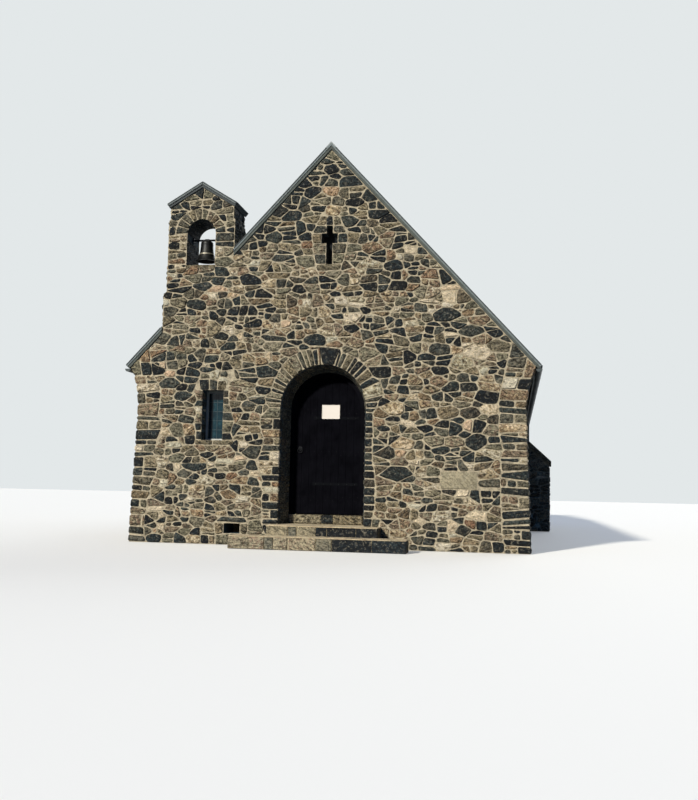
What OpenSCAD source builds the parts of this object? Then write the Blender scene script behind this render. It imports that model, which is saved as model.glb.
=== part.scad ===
// A small stone chapel with a bell-cote standing on its front gable.
// Millimetres. The front wall's outer face is y = 0, the ground is z = 0,
// x = 0 is the middle of the nave, and +Y runs into the building.

/* [Nave] */
// Width over the side walls, above their batter
nave_w = 6280; // [5800:20:7200]
// Length over the two gable walls
nave_l = 13000; // [11000:100:15000]
// Thickness of the stone walls
wall_t = 620; // [560:10:700]
// How far each side face leans out at the ground
batter = 80; // [0:10:140]
// Height of a kneeler, up to the roof's underside
kneeler_h = 680; // [560:10:760]
// How far a kneeler reaches out under the eave
kneeler_out = 150; // [80:10:150]
// Top of the boarded floor
floor_z = 500; // [440:10:560]
// Thickness of the boarded floor
floor_t = 60; // [40:5:90]

/* [Roof] */
// Top of the slates at the eave
eave_z = 2893; // [2820:1:2980]
// Pitch of the nave roof in degrees
roof_pitch = 47.3; // [45:0.1:48]
// Eave tip beyond the side wall
eave_out = 240; // [220:5:280]
// Thickness of the boarding under the slates
deck_t = 40; // [30:1:55]
// Thickness of the slates
slate_t = 35; // [25:1:50]
// Slates beyond the gable wall's face
verge_out = 40; // [25:5:80]
// Slates beyond the boarding under them
slate_lip = 12; // [4:1:20]
// Depth of the ridge capping's wings, along the slope
ridge_wing = 150; // [100:10:200]
// Thickness of the ridge capping
ridge_t = 12; // [8:1:20]
// Radius of the half-round gutter
gutter_r = 45; // [38:1:50]
// Thickness of the gutter's metal
gutter_t = 4; // [3:0.5:6]
// Spacing of the gutter brackets
bracket_step = 1180; // [900:20:1500]
// Radius of a downpipe
pipe_r = 34; // [28:1:40]
// Open foot of a downpipe
pipe_foot = 120; // [60:10:200]
// Heights of a downpipe's clips
pipe_clips = [520, 1900];

/* [Doorway] */
// Middle of the doorway
door_x = -45; // [-120:5:40]
// Radius of the arch at the wall's face, and half the width there
door_r = 700; // [660:5:760]
// Radius of the stone arch behind the splay
throat_r = 620; // [600:5:640]
// Height of the arch's springing line
door_spring = 2210; // [2100:10:2260]
// Length of the voussoirs
voussoir_l = 300; // [240:10:320]
// Number of voussoirs round the arch
voussoir_n = 21; // [15:2:27]
// Width and depth of the joints between voussoirs
voussoir_joint = 14; // [8:1:20]
// Depth of the splayed reveal, to the door frame
reveal_d = 440; // [380:5:460]
// Depth of the door frame
frame_d = 116; // [110:1:125]
// Width of the frame's stop in front of the leaf
stop_w = 16; // [14:1:20]
// Depth of the frame's stop
stop_d = 38; // [30:1:44]
// Top of the threshold
threshold_z = 500; // [440:10:560]

/* [Door] */
// Gap round the leaf
leaf_gap = 10; // [8:1:12]
// Thickness of the boards
board_t = 45; // [36:1:50]
// Thickness of the ledges behind the boards
ledge_t = 33; // [24:1:36]
// Height of each ledge
ledge_h = 150; // [110:5:180]
// Heights of the middles of the three ledges
ledge_zs = [760, 1500, 2190];
// Heights of the hinges
hinge_zs = [1000, 2080];
// Length of the strap on the door's face
strap_l = 720; // [500:10:860]
// Height and thickness of the straps
strap_h = 46; // [36:1:60]
// Thickness of a strap
strap_t = 6; // [4:1:8]
// Radius of the hinge pins
pin_r = 8; // [6:0.5:10]
// Height of the ring handle
handle_z = 1575; // [1400:5:1700]

/* [Steps] */
// Top of the lower step
step1_z = 186; // [150:2:200]
// Top of the upper step
step2_z = 338; // [300:2:360]
// Width of the lower step
step1_w = 2700; // [2300:20:3000]
// Width of the upper step
step2_w = 1720; // [1560:20:1900]
// Middle of both steps
step_x = 60; // [-20:5:120]
// Tread of the lower step
tread1 = 400; // [320:10:450]
// Tread of the upper step, in front of the wall
tread2 = 450; // [380:10:500]

/* [Windows] */
// Width of a window opening
window_w = 360; // [320:5:400]
// Height of a window opening
window_h = 820; // [760:10:860]
// Sill height of the windows
window_z = 1670; // [1620:10:1700]
// Distance of the gable windows from the middle
window_x = 1876; // [1700:10:1950]
// Windows in each side wall
side_windows = 3; // [2:1:4]
// Set-back of the window frames
window_set = 245; // [200:5:280]
// Width of the frame's timber
sash_w = 34; // [28:1:40]
// Depth of the frame's timber
sash_d = 60; // [50:1:80]
// Thickness of the glass
glass_t = 6; // [4:1:8]
// Height and width of the cross-shaped slit
slit_h = 640; // [560:10:680]
// Width of the slit's arms from tip to tip
slit_w = 270; // [240:10:300]
// Width of the slit's upright
slit_t = 105; // [90:5:120]
// Foot of the slit below the nave's ridge
slit_drop = 2017; // [1950:1:2080]
// Width of the air hole under the floor
vent_w = 270; // [220:10:300]
// Height of the air hole
vent_h = 160; // [120:10:180]
// Foot of the air hole
vent_z = 181; // [150:1:200]
// Middle of the air hole
vent_x = -1492; // [-1540:4:-1440]

/* [Bell-cote] */
// Middle of the bell-cote, in from the side wall's face
cote_inset = 975; // [900:5:1020]
// Width of the bell-cote
cote_w = 1140; // [1080:10:1200]
// Top of its roof below the nave's ridge
cote_drop = 599; // [540:1:660]
// Height of its roof's top above the springing line of its arch
cote_crown = 857; // [840:1:900]
// Height of its opening up to the springing line
cote_jamb = 535; // [525:5:600]
// Radius of its arch, and half the width of its opening
cote_r = 245; // [235:1:260]
// Pitch of its roof in degrees
cote_pitch = 31.3; // [29:0.1:33]
// Its roof beyond its side faces
cote_eave = 26; // [20:1:50]
// Thickness of its roof
cote_roof_t = 66; // [50:1:75]
// Offset on the outer side, low down
cote_offset = 50; // [20:5:70]
// Offset below the opening's sill
offset_drop = 485; // [380:5:540]
// Step back of its side faces, high up
cote_step = 25; // [10:1:40]
// Height of that step above the springing line
cote_step_z = 225; // [180:5:260]
// Thickness of the stone sill
cote_sill_t = 50; // [40:1:70]

/* [Bell] */
// Largest diameter of the bell
bell_d = 348; // [320:2:370]
// Diameter at the bell's shoulder
shoulder_d = 205; // [180:5:220]
// Height of the bell
bell_h = 340; // [310:5:350]
// Thickness of the bell's waist
bell_t = 13; // [10:1:16]
// Radius of the axle
axle_r = 17; // [14:1:20]
// Axle below the springing line
axle_drop = 42; // [40:1:55]
// Radius of the clapper's ball
ball_r = 24; // [20:1:28]

/* [Buttresses] */
// How far a buttress stands out from the side wall
buttress_out = 660; // [500:10:720]
// Width of a buttress
buttress_w = 600; // [480:10:700]
// Middle of the buttresses
buttress_y = 8800; // [8700:50:9000]
// Foot of a buttress's slope below the eave
buttress_drop = 1313; // [1240:1:1400]
// Thickness of the capping
cap_t = 90; // [60:5:120]
// Capping beyond the buttress
cap_out = 40; // [20:5:60]

/* [Hidden] */
$fn = 64;

half_w = nave_w / 2;
inner_x = half_w - wall_t;
// Sloping faces that meet stop this far apart, so that they only touch
bed = 0.1;
roof_t = deck_t + slate_t;
// Tops of the walls, measured down from the slates' top
wall_top = roof_t + bed;
slope = tan(roof_pitch);
tip_x = half_w + eave_out;
ridge_z = eave_z + tip_x * slope;

// Height of a surface that lies a distance down from the slates' top
function roof_z(x, down) = ridge_z - down / cos(roof_pitch) - abs(x) * slope;
// Half width at a height, along such a surface
function roof_x(z, down) = (ridge_z - down / cos(roof_pitch) - z) / slope;
// Half width of the building's side face at a height, without a kneeler
function face_x(z) = half_w + batter * max(0, 1 - z / kneeler_z);

kneeler_x = half_w + kneeler_out;
kneeler_top = roof_z(kneeler_x, wall_top);
// The batter ends where the kneelers start
kneeler_z = kneeler_top - kneeler_h;
// Side outline of a gable wall: batter, then the swept-out kneeler
function side_x(z) = z <= kneeler_z ? face_x(z)
    : half_w + kneeler_out * pow((z - kneeler_z) / (kneeler_top - kneeler_z), 2);
kneeler_zs = [for (i = [0:6]) kneeler_z + kneeler_h * i / 6];
// Points up that outline between two heights
function side_points(z0, z1, side) = [
    for (z = concat([z0], [for (k = kneeler_zs) if (k > z0 + 1 && k < z1 - 1) k], [z1]))
        [side * side_x(z), z]];

// The course above the crown of the door arch carries the gable
arch_r = door_r + voussoir_l;
gable_z = max(door_spring + arch_r, kneeler_top) + 60;
eaves_x = roof_x(gable_z, wall_top);
splay = (door_r - throat_r) / reveal_d;
// Half width of the splayed reveal at a depth
function reveal_r(y) = door_r - splay * y;

leaf_r = throat_r - 58 - leaf_gap;
frame_r = leaf_r + leaf_gap;
frame_back = reveal_d + frame_d;
leaf_y = reveal_d + stop_d + 6;
leaf_back = leaf_y + board_t + ledge_t;
leaf_z = threshold_z + leaf_gap;
pin_x = door_x + frame_r + 6;
pin_y = leaf_back + 18;
eye_r = pin_r + 6;
rear_r = throat_r + 80;

cote_x = cote_inset - half_w;
cote_top = ridge_z - cote_drop;
cote_spring = cote_top - cote_crown;
cote_sill = cote_spring - cote_jamb;
cote_offset_z = cote_sill - offset_drop;
slit_z = ridge_z - slit_drop;
cote_l = cote_x - cote_w / 2;
cote_rt = cote_x + cote_w / 2;
cote_rise = tan(cote_pitch);
cote_tip = cote_w / 2 + cote_eave;
axle_z = cote_spring - axle_drop;
bell_y = wall_t / 2;
bell_top = axle_z - axle_r - 8;
bell_lip = bell_top - bell_h;
plate_t = 20;
plate_h = 2 * axle_drop - 8;
axle_l = 2 * cote_r - 4;
clapper_z = bell_top - 62;
running = 0.4;

// Extrudes a drawing in x and z along y
module along_y(y0, y1) {
    translate([0, y1, 0]) rotate([90, 0, 0]) linear_extrude(y1 - y0) children();
}

// A round bar along x
module bar_x(r, x0, x1) {
    translate([x0, 0, 0]) rotate([0, 90, 0]) cylinder(r = r, h = x1 - x0);
}

// An arched opening drawn upright, from a foot to its springing line and arch
module arched(r, foot, spring, x = door_x) {
    translate([x - r, foot]) square([2 * r, spring - foot]);
    translate([x, spring]) circle(r = r);
}

// The doorway's void: splay, throat and the wider rear arch
module doorway_void(foot) {
    jamb = [[-door_r - splay * 10, -10], [-throat_r, reveal_d],
        [throat_r, reveal_d], [door_r + splay * 10, -10]];
    translate([door_x, 0, foot]) linear_extrude(door_spring - foot) polygon(jamb);
    translate([door_x, -10, door_spring]) rotate([-90, 0, 0])
        cylinder(r1 = door_r + splay * 10, r2 = throat_r, h = reveal_d + 10, $fn = 96);
    along_y(reveal_d - 1, wall_t + 10) arched(throat_r, foot, door_spring, $fn = 96);
    along_y(frame_back, wall_t + 10) arched(rear_r, foot, door_spring, $fn = 96);
}

module window_void(x, z, w, h, y0, y1) {
    translate([x - w / 2, y0, z]) cube([w, y1 - y0, h]);
}

// Stone walls

module wall_beside_door(side) {
    jamb = door_x + side * throat_r;
    difference() {
        along_y(0, wall_t) polygon(concat(side_points(0, door_spring, side),
            [[jamb, door_spring], [jamb, 0]]));
        doorway_void(-10);
    }
}

module front_wall_left() {
    color("#7b7468") difference() {
        wall_beside_door(-1);
        // The window's opening up to the springing line
        window_void(-window_x, window_z, window_w, window_h, -10, wall_t + 10);
        window_void(vent_x, vent_z, vent_w, vent_h, -10, wall_t + 10);
    }
}

module front_wall_right() {
    color("#7b7468") wall_beside_door(1);
}

// The masonry under the doorway, between the two jambs
module door_footing() {
    front = door_r - bed;
    throat = throat_r - bed;
    color("#6f695e") translate([door_x, 0, 0]) linear_extrude(step2_z)
        polygon([[-front, 0], [-throat, reveal_d], [-throat, frame_back],
            [-rear_r, frame_back], [-rear_r, wall_t], [rear_r, wall_t],
            [rear_r, frame_back], [throat, frame_back], [throat, reveal_d],
            [front, 0]]);
}

// A ring of radial stones, parted by joints cut into its face
module door_arch() {
    color("#5f5c55") difference() {
        along_y(0, wall_t) difference() {
            translate([door_x, door_spring]) circle(r = arch_r, $fn = 96);
            translate([door_x - 2 * arch_r, door_spring - 2 * arch_r])
                square([4 * arch_r, 2 * arch_r]);
        }
        doorway_void(door_spring - 20);
        for (i = [1:voussoir_n - 1])
            translate([door_x, -10, door_spring]) rotate([0, -180 * i / voussoir_n, 0])
                translate([door_r + 20, 0, -voussoir_joint / 2])
                    cube([voussoir_l + 40, 10 + voussoir_joint, voussoir_joint]);
    }
}

module arch_spandrel(side) {
    outline = concat(side_points(door_spring, kneeler_top, side),
        [[side * eaves_x, gable_z], [door_x, gable_z], [door_x, door_spring]]);
    along_y(0, wall_t) difference() {
        polygon(outline);
        translate([door_x, door_spring]) circle(r = arch_r, $fn = 96);
        // The head of the front window stands above the springing line
        if (side < 0) translate([-window_x - window_w / 2, window_z]) square([window_w, window_h]);
    }
}

module arch_spandrel_left() {
    color("#7b7468") arch_spandrel(-1);
}

module arch_spandrel_right() {
    color("#7b7468") arch_spandrel(1);
}

// The upright and the arms of the slit
module cross_outline() {
    translate([-slit_t / 2, slit_z]) square([slit_t, slit_h]);
    translate([-slit_w / 2, slit_z + slit_h * 0.54]) square([slit_w, slit_h * 0.26]);
}

module front_gable() {
    color("#7b7468") along_y(0, wall_t) difference() {
        polygon([[cote_rt, gable_z], [eaves_x, gable_z], [0, roof_z(0, wall_top)],
            [cote_rt, roof_z(cote_rt, wall_top)]]);
        cross_outline();
    }
}

side_y0 = wall_t;
side_y1 = nave_l - wall_t;
// Middles of the side windows, spaced evenly along the wall
function side_window_y(i) = side_y0 + (side_y1 - side_y0) * (i + 0.5) / side_windows;

module side_wall(side) {
    difference() {
        along_y(side_y0, side_y1) polygon([[side * face_x(0), 0],
            [side * half_w, kneeler_z], [side * half_w, roof_z(half_w, wall_top)],
            [side * inner_x, roof_z(inner_x, wall_top)], [side * inner_x, 0]]);
        for (i = [0:side_windows - 1])
            translate([side * half_w - wall_t - 100, side_window_y(i) - window_w / 2, window_z])
                cube([2 * wall_t, window_w, window_h]);
    }
}

module side_wall_left() {
    color("#7b7468") side_wall(-1);
}

module side_wall_right() {
    color("#7b7468") side_wall(1);
}

module rear_wall() {
    left = side_points(0, kneeler_top, -1);
    right = side_points(0, kneeler_top, 1);
    color("#7b7468") along_y(side_y1, nave_l) difference() {
        polygon(concat(left, [[-eaves_x, gable_z], [eaves_x, gable_z]],
            [for (i = [len(right) - 1:-1:0]) right[i]]));
        for (side = [-1, 1])
            translate([side * window_x - window_w / 2, window_z]) square([window_w, window_h]);
    }
}

module rear_gable() {
    color("#7b7468") along_y(side_y1, nave_l)
        polygon([[-eaves_x, gable_z], [eaves_x, gable_z], [0, roof_z(0, wall_top)]]);
}

module floor() {
    color("#6b5138") translate([-inner_x, side_y0, floor_z - floor_t])
        cube([2 * inner_x, side_y1 - side_y0, floor_t]);
}

// Roof

// One layer of one slope, with the bell-cote's shaft let through on the left
module roof_layer(side, top, thick, verge) {
    y0 = -verge;
    y1 = nave_l + verge;
    // The eave is cut square to the slope
    cut = [sin(roof_pitch), cos(roof_pitch)];
    difference() {
        along_y(y0, y1) polygon([[0, roof_z(0, top)],
            [side * (tip_x - top * cut[0]), roof_z(tip_x, 0) - top * cut[1]],
            [side * (tip_x - (top + thick) * cut[0]), roof_z(tip_x, 0) - (top + thick) * cut[1]],
            [0, roof_z(0, top + thick)]]);
        if (side < 0) translate([cote_l - cote_offset, y0 - 10, 0])
            cube([cote_w + cote_offset, wall_t - y0 + 10, ridge_z]);
    }
}

module roof_deck_left() {
    color("#5a5046") roof_layer(-1, slate_t, deck_t, verge_out - slate_lip);
}

module roof_deck_right() {
    color("#5a5046") roof_layer(1, slate_t, deck_t, verge_out - slate_lip);
}

module slates_left() {
    color("#6c7774") roof_layer(-1, 0, slate_t, verge_out);
}

module slates_right() {
    color("#6c7774") roof_layer(1, 0, slate_t, verge_out);
}

module ridge_capping() {
    w = ridge_wing * cos(roof_pitch);
    lift = ridge_t / cos(roof_pitch);
    color("#5d6866") along_y(-verge_out, nave_l + verge_out)
        polygon([[-w, roof_z(w, -bed)], [-w, roof_z(w, 0) + lift], [0, ridge_z + lift],
            [w, roof_z(w, 0) + lift], [w, roof_z(w, -bed)], [0, roof_z(0, -bed)]]);
}

gutter_x = tip_x - gutter_r + 10;
gutter_z = roof_z(tip_x, 0) - roof_t * cos(roof_pitch) - 7;
fascia_x = gutter_x - gutter_r - gutter_t - 2;
fascia_t = 20;

module fascia(side) {
    x0 = fascia_x - fascia_t;
    along_y(side_y0, side_y1) polygon([[side * x0, gutter_z - gutter_r],
        [side * fascia_x, gutter_z - gutter_r], [side * fascia_x, roof_z(fascia_x, wall_top)],
        [side * x0, roof_z(x0, wall_top)]]);
}

module fascias() {
    color("#4b4f4a") for (side = [-1, 1]) fascia(side);
}

// Lower half of a ring, drawn in x and z
module half_ring(r0, r1) {
    difference() {
        circle(r = r1);
        circle(r = r0);
        translate([-2 * r1, 0]) square([4 * r1, 2 * r1]);
    }
}

bracket_n = floor((side_y1 - side_y0 - 200) / bracket_step);
bracket_y0 = (side_y0 + side_y1 - bracket_n * bracket_step) / 2;

module gutter(side) {
    y0 = -verge_out + 10;
    y1 = nave_l + verge_out - 10;
    outer = gutter_r + gutter_t;
    translate([side * gutter_x, 0, gutter_z]) {
        along_y(y0, y1) half_ring(gutter_r, outer);
        for (y = [y0, y1 - gutter_t])
            along_y(y, y + gutter_t) half_ring(0, outer);
        // Brackets wrap the gutter and reach the fascia
        for (i = [0:bracket_n]) translate([0, bracket_y0 + i * bracket_step, 0]) {
            along_y(-14, 14) half_ring(gutter_r + 1, outer + 2);
            translate([side < 0 ? outer - 3 : -outer - 2, -14, -30])
                cube([5, 28, 28]);
        }
    }
}

module gutters() {
    color("#3f4543") for (side = [-1, 1]) gutter(side);
}

// A pipe straight down from the gutter near its rear end, held off the wall
// by clips
module downpipe(side) {
    translate([side * gutter_x, side_y1 - 160, 0]) difference() {
        union() {
            translate([0, 0, pipe_foot]) cylinder(r = pipe_r, h = gutter_z - pipe_foot);
            for (z = pipe_clips) {
                // The arm's foot just meets the battered wall
                reach = gutter_x - face_x(z - 12);
                translate([0, 0, z - 15]) cylinder(r = pipe_r + 5, h = 30);
                translate([side < 0 ? 0 : -reach, -12, z - 12]) cube([reach, 24, 24]);
            }
        }
        translate([0, 0, gutter_z]) rotate([90, 0, 0])
            cylinder(r = gutter_r + gutter_t, h = 4 * pipe_r, center = true);
    }
}

module downpipes() {
    color("#3f4543") for (side = [-1, 1]) downpipe(side);
}

// Buttresses

buttress_x = half_w + buttress_out;
buttress_z = eave_z - buttress_drop;
// The capping has the pitch of the nave roof, less five degrees
cap_pitch = roof_pitch - 5;
buttress_top = buttress_z + (buttress_x - half_w) * tan(cap_pitch);

module buttress(side) {
    along_y(buttress_y - buttress_w / 2, buttress_y + buttress_w / 2)
        polygon(concat([[side * face_x(0), 0], [side * buttress_x, 0],
            [side * buttress_x, buttress_z], [side * face_x(buttress_top), buttress_top]],
            buttress_top > kneeler_z ? [[side * half_w, kneeler_z]] : []));
}

module buttress_cap(side) {
    rise = cap_t / cos(cap_pitch);
    low = cap_out * tan(cap_pitch);
    half = buttress_w / 2 + cap_out;
    along_y(buttress_y - half, buttress_y + half)
        polygon([[side * (buttress_x + cap_out), buttress_z - low],
            [side * (buttress_x + cap_out), buttress_z - low + rise],
            [side * half_w, buttress_top + rise],
            [side * face_x(buttress_top), buttress_top]]);
}

module buttresses() {
    color("#7b7468") for (side = [-1, 1]) buttress(side);
}

module buttress_caps() {
    color("#6c6a62") for (side = [-1, 1]) buttress_cap(side);
}

// Steps and threshold

module step_lower() {
    color("#8a7f6c") translate([step_x - step1_w / 2, -tread2 - tread1, 0])
        cube([step1_w, tread1, step1_z]);
}

module step_upper() {
    color("#8a7f6c") translate([step_x - step2_w / 2, -tread2, 0])
        cube([step2_w, tread2, step2_z]);
}

module threshold() {
    color("#8f8778") {
        translate([door_x - throat_r, reveal_d, step2_z])
            cube([2 * throat_r, frame_d, threshold_z - step2_z]);
        translate([door_x - rear_r, frame_back, step2_z])
            cube([2 * rear_r, wall_t - frame_back, threshold_z - step2_z]);
    }
}

// Door

module door_frame() {
    color("#2a211b") difference() {
        along_y(reveal_d, frame_back) arched(throat_r, threshold_z, door_spring, $fn = 96);
        along_y(reveal_d + stop_d, frame_back + 1)
            arched(frame_r, threshold_z - 1, door_spring, $fn = 96);
        along_y(reveal_d - 1, frame_back)
            arched(frame_r - stop_w, threshold_z - 1, door_spring, $fn = 96);
    }
}

module door_leaf() {
    color("#1d1714") along_y(leaf_y, leaf_y + board_t)
        arched(leaf_r, leaf_z, door_spring, $fn = 96);
}

module door_ledges() {
    color("#241b16") for (z = ledge_zs) along_y(leaf_y + board_t, leaf_back)
        translate([door_x - leaf_r + 70, z - ledge_h / 2])
            square([2 * leaf_r - 140, ledge_h]);
}

// Flat straps on the door's face, with round ends
module door_straps() {
    x1 = door_x + leaf_r - 40;
    color("#15161a") for (z = hinge_zs) along_y(leaf_y - strap_t, leaf_y) {
        translate([x1 - strap_l, z - strap_h / 2]) square([strap_l, strap_h]);
        translate([x1 - strap_l, z]) circle(r = strap_h * 0.7);
    }
}

// Plates on the back of the leaf, each with an eye round its pin
module door_hinges() {
    color("#15161a") for (z = hinge_zs) difference() {
        union() {
            translate([door_x + leaf_r - 66, leaf_y + board_t, z - strap_h / 2])
                cube([60, ledge_t + strap_t, strap_h]);
            translate([door_x + leaf_r - 20, leaf_back, z - strap_h / 2])
                cube([pin_x - door_x - leaf_r + 20, pin_y - leaf_back, strap_h]);
            translate([pin_x, pin_y, z - strap_h / 2]) cylinder(r = eye_r, h = strap_h);
        }
        translate([pin_x, pin_y, z - strap_h]) cylinder(r = pin_r + running, h = 2 * strap_h);
    }
}

// Pins on brackets behind the frame
module door_pintles() {
    color("#15161a") for (z = hinge_zs) {
        foot = z - strap_h / 2 - 2;
        translate([pin_x, pin_y, foot - 10]) cylinder(r = pin_r, h = strap_h + 24);
        translate([pin_x - pin_r, frame_back, foot - 30])
            cube([2 * eye_r + 12, pin_y + eye_r - frame_back, 30]);
    }
}

// Back plate, spindle and a hanging ring
module door_handle() {
    x = door_x - leaf_r + 95;
    color("#1b1c20") translate([x, leaf_y, handle_z]) {
        rotate([90, 0, 0]) cylinder(r = 34, h = 5);
        rotate([90, 0, 0]) cylinder(r = 9, h = 30);
        translate([0, -22, -34]) rotate([90, 0, 0])
            rotate_extrude() translate([38, 0]) circle(r = 6, $fn = 24);
    }
}

// Windows

// A frame in an opening, drawn in width and height
module sash_outline() {
    difference() {
        square([window_w, window_h]);
        translate([sash_w, sash_w]) square([window_w - 2 * sash_w, window_h - 2 * sash_w]);
    }
}

module gable_sash(x, y) {
    translate([x - window_w / 2, 0, window_z]) along_y(y, y + sash_d) sash_outline();
}

module side_sashes(side) {
    x = side * (half_w - window_set - sash_d / 2);
    for (i = [0:side_windows - 1])
        translate([x - sash_d / 2, side_window_y(i) - window_w / 2, window_z])
            rotate([90, 0, 90]) linear_extrude(sash_d) sash_outline();
}

module front_window() {
    color("#b9b3a4") gable_sash(-window_x, window_set);
}

module side_windows() {
    color("#b9b3a4") for (side = [-1, 1]) side_sashes(side);
}

module rear_windows() {
    color("#b9b3a4") for (side = [-1, 1])
        gable_sash(side * window_x, nave_l - window_set - sash_d);
}

// A pane between the four timbers of each frame
module window_glass() {
    w = window_w - 2 * sash_w;
    h = window_h - 2 * sash_w;
    z = window_z + sash_w;
    mid = window_set + sash_d / 2;
    color("#27434d") {
        translate([-window_x - w / 2, mid - glass_t / 2, z]) cube([w, glass_t, h]);
        for (side = [-1, 1]) {
            translate([side * window_x - w / 2, nave_l - mid - glass_t / 2, z])
                cube([w, glass_t, h]);
            for (i = [0:side_windows - 1])
                translate([side * (half_w - mid) - glass_t / 2, side_window_y(i) - w / 2, z])
                    cube([glass_t, w, h]);
        }
    }
}

module cross_glass() {
    color("#27434d") along_y(window_set, window_set + glass_t) cross_outline();
}

// Bell-cote

module cote_shaft() {
    x1 = cote_l - cote_offset;
    color("#7b7468") along_y(0, wall_t) polygon([[cote_rt, gable_z],
        [cote_rt, cote_sill - cote_sill_t], [cote_l, cote_sill - cote_sill_t],
        [cote_l, cote_offset_z + cote_offset], [x1, cote_offset_z],
        [x1, roof_z(x1, wall_top)], [-eaves_x, gable_z]]);
}

module cote_pier(x0, x1) {
    foot = cote_sill - cote_sill_t;
    translate([x0, 0, foot]) cube([x1 - x0, wall_t, cote_spring - foot]);
}

module cote_pier_left() {
    color("#7b7468") cote_pier(cote_l, cote_x - cote_r);
}

module cote_pier_right() {
    color("#7b7468") cote_pier(cote_x + cote_r, cote_rt);
}

// Walls under the bell-cote's roof, at a distance from its middle
function cote_under(dx) = cote_top - (cote_roof_t + bed) / cos(cote_pitch) - abs(dx) * cote_rise;

module cote_head() {
    half = cote_w / 2;
    top = half - cote_step;
    step_z = cote_spring + cote_step_z;
    color("#7b7468") along_y(0, wall_t) difference() {
        translate([cote_x, 0]) polygon([[-half, cote_spring], [half, cote_spring],
            [half, step_z], [top, step_z + cote_step], [top, cote_under(top)],
            [0, cote_under(0)], [-top, cote_under(top)], [-top, step_z + cote_step],
            [-half, step_z]]);
        translate([cote_x, cote_spring]) circle(r = cote_r);
    }
}

// One layer of one slope, cut square to the slope at its eave
module cote_layer(side, top, thick, verge) {
    cut = [sin(cote_pitch), cos(cote_pitch)];
    tip_z = cote_top - cote_tip * cote_rise;
    translate([cote_x, 0, 0]) along_y(-verge, wall_t + verge)
        polygon([[0, cote_top - top / cut[1]],
            [side * (cote_tip - top * cut[0]), tip_z - top * cut[1]],
            [side * (cote_tip - (top + thick) * cut[0]), tip_z - (top + thick) * cut[1]],
            [0, cote_top - (top + thick) / cut[1]]]);
}

module cote_slope(side) {
    upper = cote_roof_t / 2;
    cote_layer(side, 0, upper, verge_out);
    cote_layer(side, upper, cote_roof_t - upper, verge_out - slate_lip);
}

module cote_roof_left() {
    color("#6c7774") cote_slope(-1);
}

module cote_roof_right() {
    color("#6c7774") cote_slope(1);
}

module cote_sill_stone() {
    color("#8f8778") translate([cote_x - cote_r, -15, cote_sill - cote_sill_t])
        cube([2 * cote_r, wall_t + 30, cote_sill_t]);
}

// Bell

// Iron plates on the piers, each bored for an end of the axle
module bell_bearings() {
    color("#1b1c20") for (side = [-1, 1])
        translate([cote_x + side * (cote_r - plate_t / 2), bell_y, axle_z]) difference() {
            translate([-plate_t / 2, -plate_h / 2, -plate_h / 2])
                cube([plate_t, plate_h, plate_h]);
            bar_x(axle_r + running, -plate_t, plate_t);
        }
}

module bell_axle() {
    color("#1b1c20") translate([cote_x, bell_y, axle_z]) bar_x(axle_r, -axle_l / 2, axle_l / 2);
}

// A clamp round the axle that stands on the bell's crown
module bell_hanger() {
    color("#1b1c20") translate([cote_x, bell_y, axle_z]) difference() {
        union() {
            bar_x(axle_r + 7, -34, 34);
            translate([-34, -26, -axle_r - 8]) cube([68, 52, axle_r + 8]);
        }
        bar_x(axle_r, -40, 40);
    }
}

// Heights of the beads round the bell, from its crown at 0 to its lip at 1
bell_beads = [0.1, 0.62, 0.7];

// Outside radius of the bell, from its crown at 0 to its lip at 1
function bell_r(u) = shoulder_d / 2 + (bell_d - shoulder_d) / 2 * (0.22 * u + 0.78 * pow(u, 3.2));
// The metal grows from the waist to the sound bow
function bell_wall(u) = bell_t + 13 * pow(u, 4);

module bell() {
    crown = 26;
    steps = 12;
    outer = [for (i = [0:steps]) let (u = i / steps)
        [bell_r(u), -crown - (bell_h - crown) * u]];
    inner = [for (i = [steps:-1:0]) let (u = i / steps)
        [bell_r(u) - bell_wall(u), -crown - (bell_h - crown) * u]];
    shoulder = [for (a = [90:-18:18]) [shoulder_d / 2 - crown + crown * cos(a), crown * sin(a) - crown]];
    hollow = [for (a = [18:18:90]) [shoulder_d / 2 - crown + (crown - bell_t) * cos(a),
        (crown - bell_t) * sin(a) - crown]];
    color("#2b2a28") translate([cote_x, bell_y, bell_top]) {
        rotate_extrude($fn = 96)
            polygon(concat([[0, 0]], shoulder, outer, inner, hollow, [[0, -bell_t]]));
        for (u = bell_beads) rotate_extrude($fn = 96)
            translate([bell_r(u) - 1, -crown - (bell_h - crown) * u]) circle(r = 5, $fn = 24);
    }
}

// Two cheeks under the crown with the clapper's pin between them
module clapper_staple() {
    top = bell_top - bell_t;
    color("#1b1c20") translate([cote_x, bell_y, 0]) {
        for (side = [-1, 1]) translate([side * 18 - 4, -12, clapper_z - 12])
            cube([8, 24, top - clapper_z + 12]);
        translate([0, 0, clapper_z]) bar_x(6, -20, 20);
    }
}

// An eye, a tapered stem, the ball and its tail
module clapper() {
    ball_z = bell_lip + ball_r + 6;
    color("#1b1c20") translate([cote_x, bell_y, 0]) difference() {
        union() {
            translate([0, 0, clapper_z]) bar_x(14, -10, 10);
            translate([0, 0, ball_z]) cylinder(r1 = 11, r2 = 7, h = clapper_z - 10 - ball_z);
            translate([0, 0, ball_z]) sphere(r = ball_r);
            translate([0, 0, ball_z - ball_r - 22]) cylinder(r = 8, h = 30);
        }
        translate([0, 0, clapper_z]) bar_x(6 + running, -20, 20);
    }
}

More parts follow.
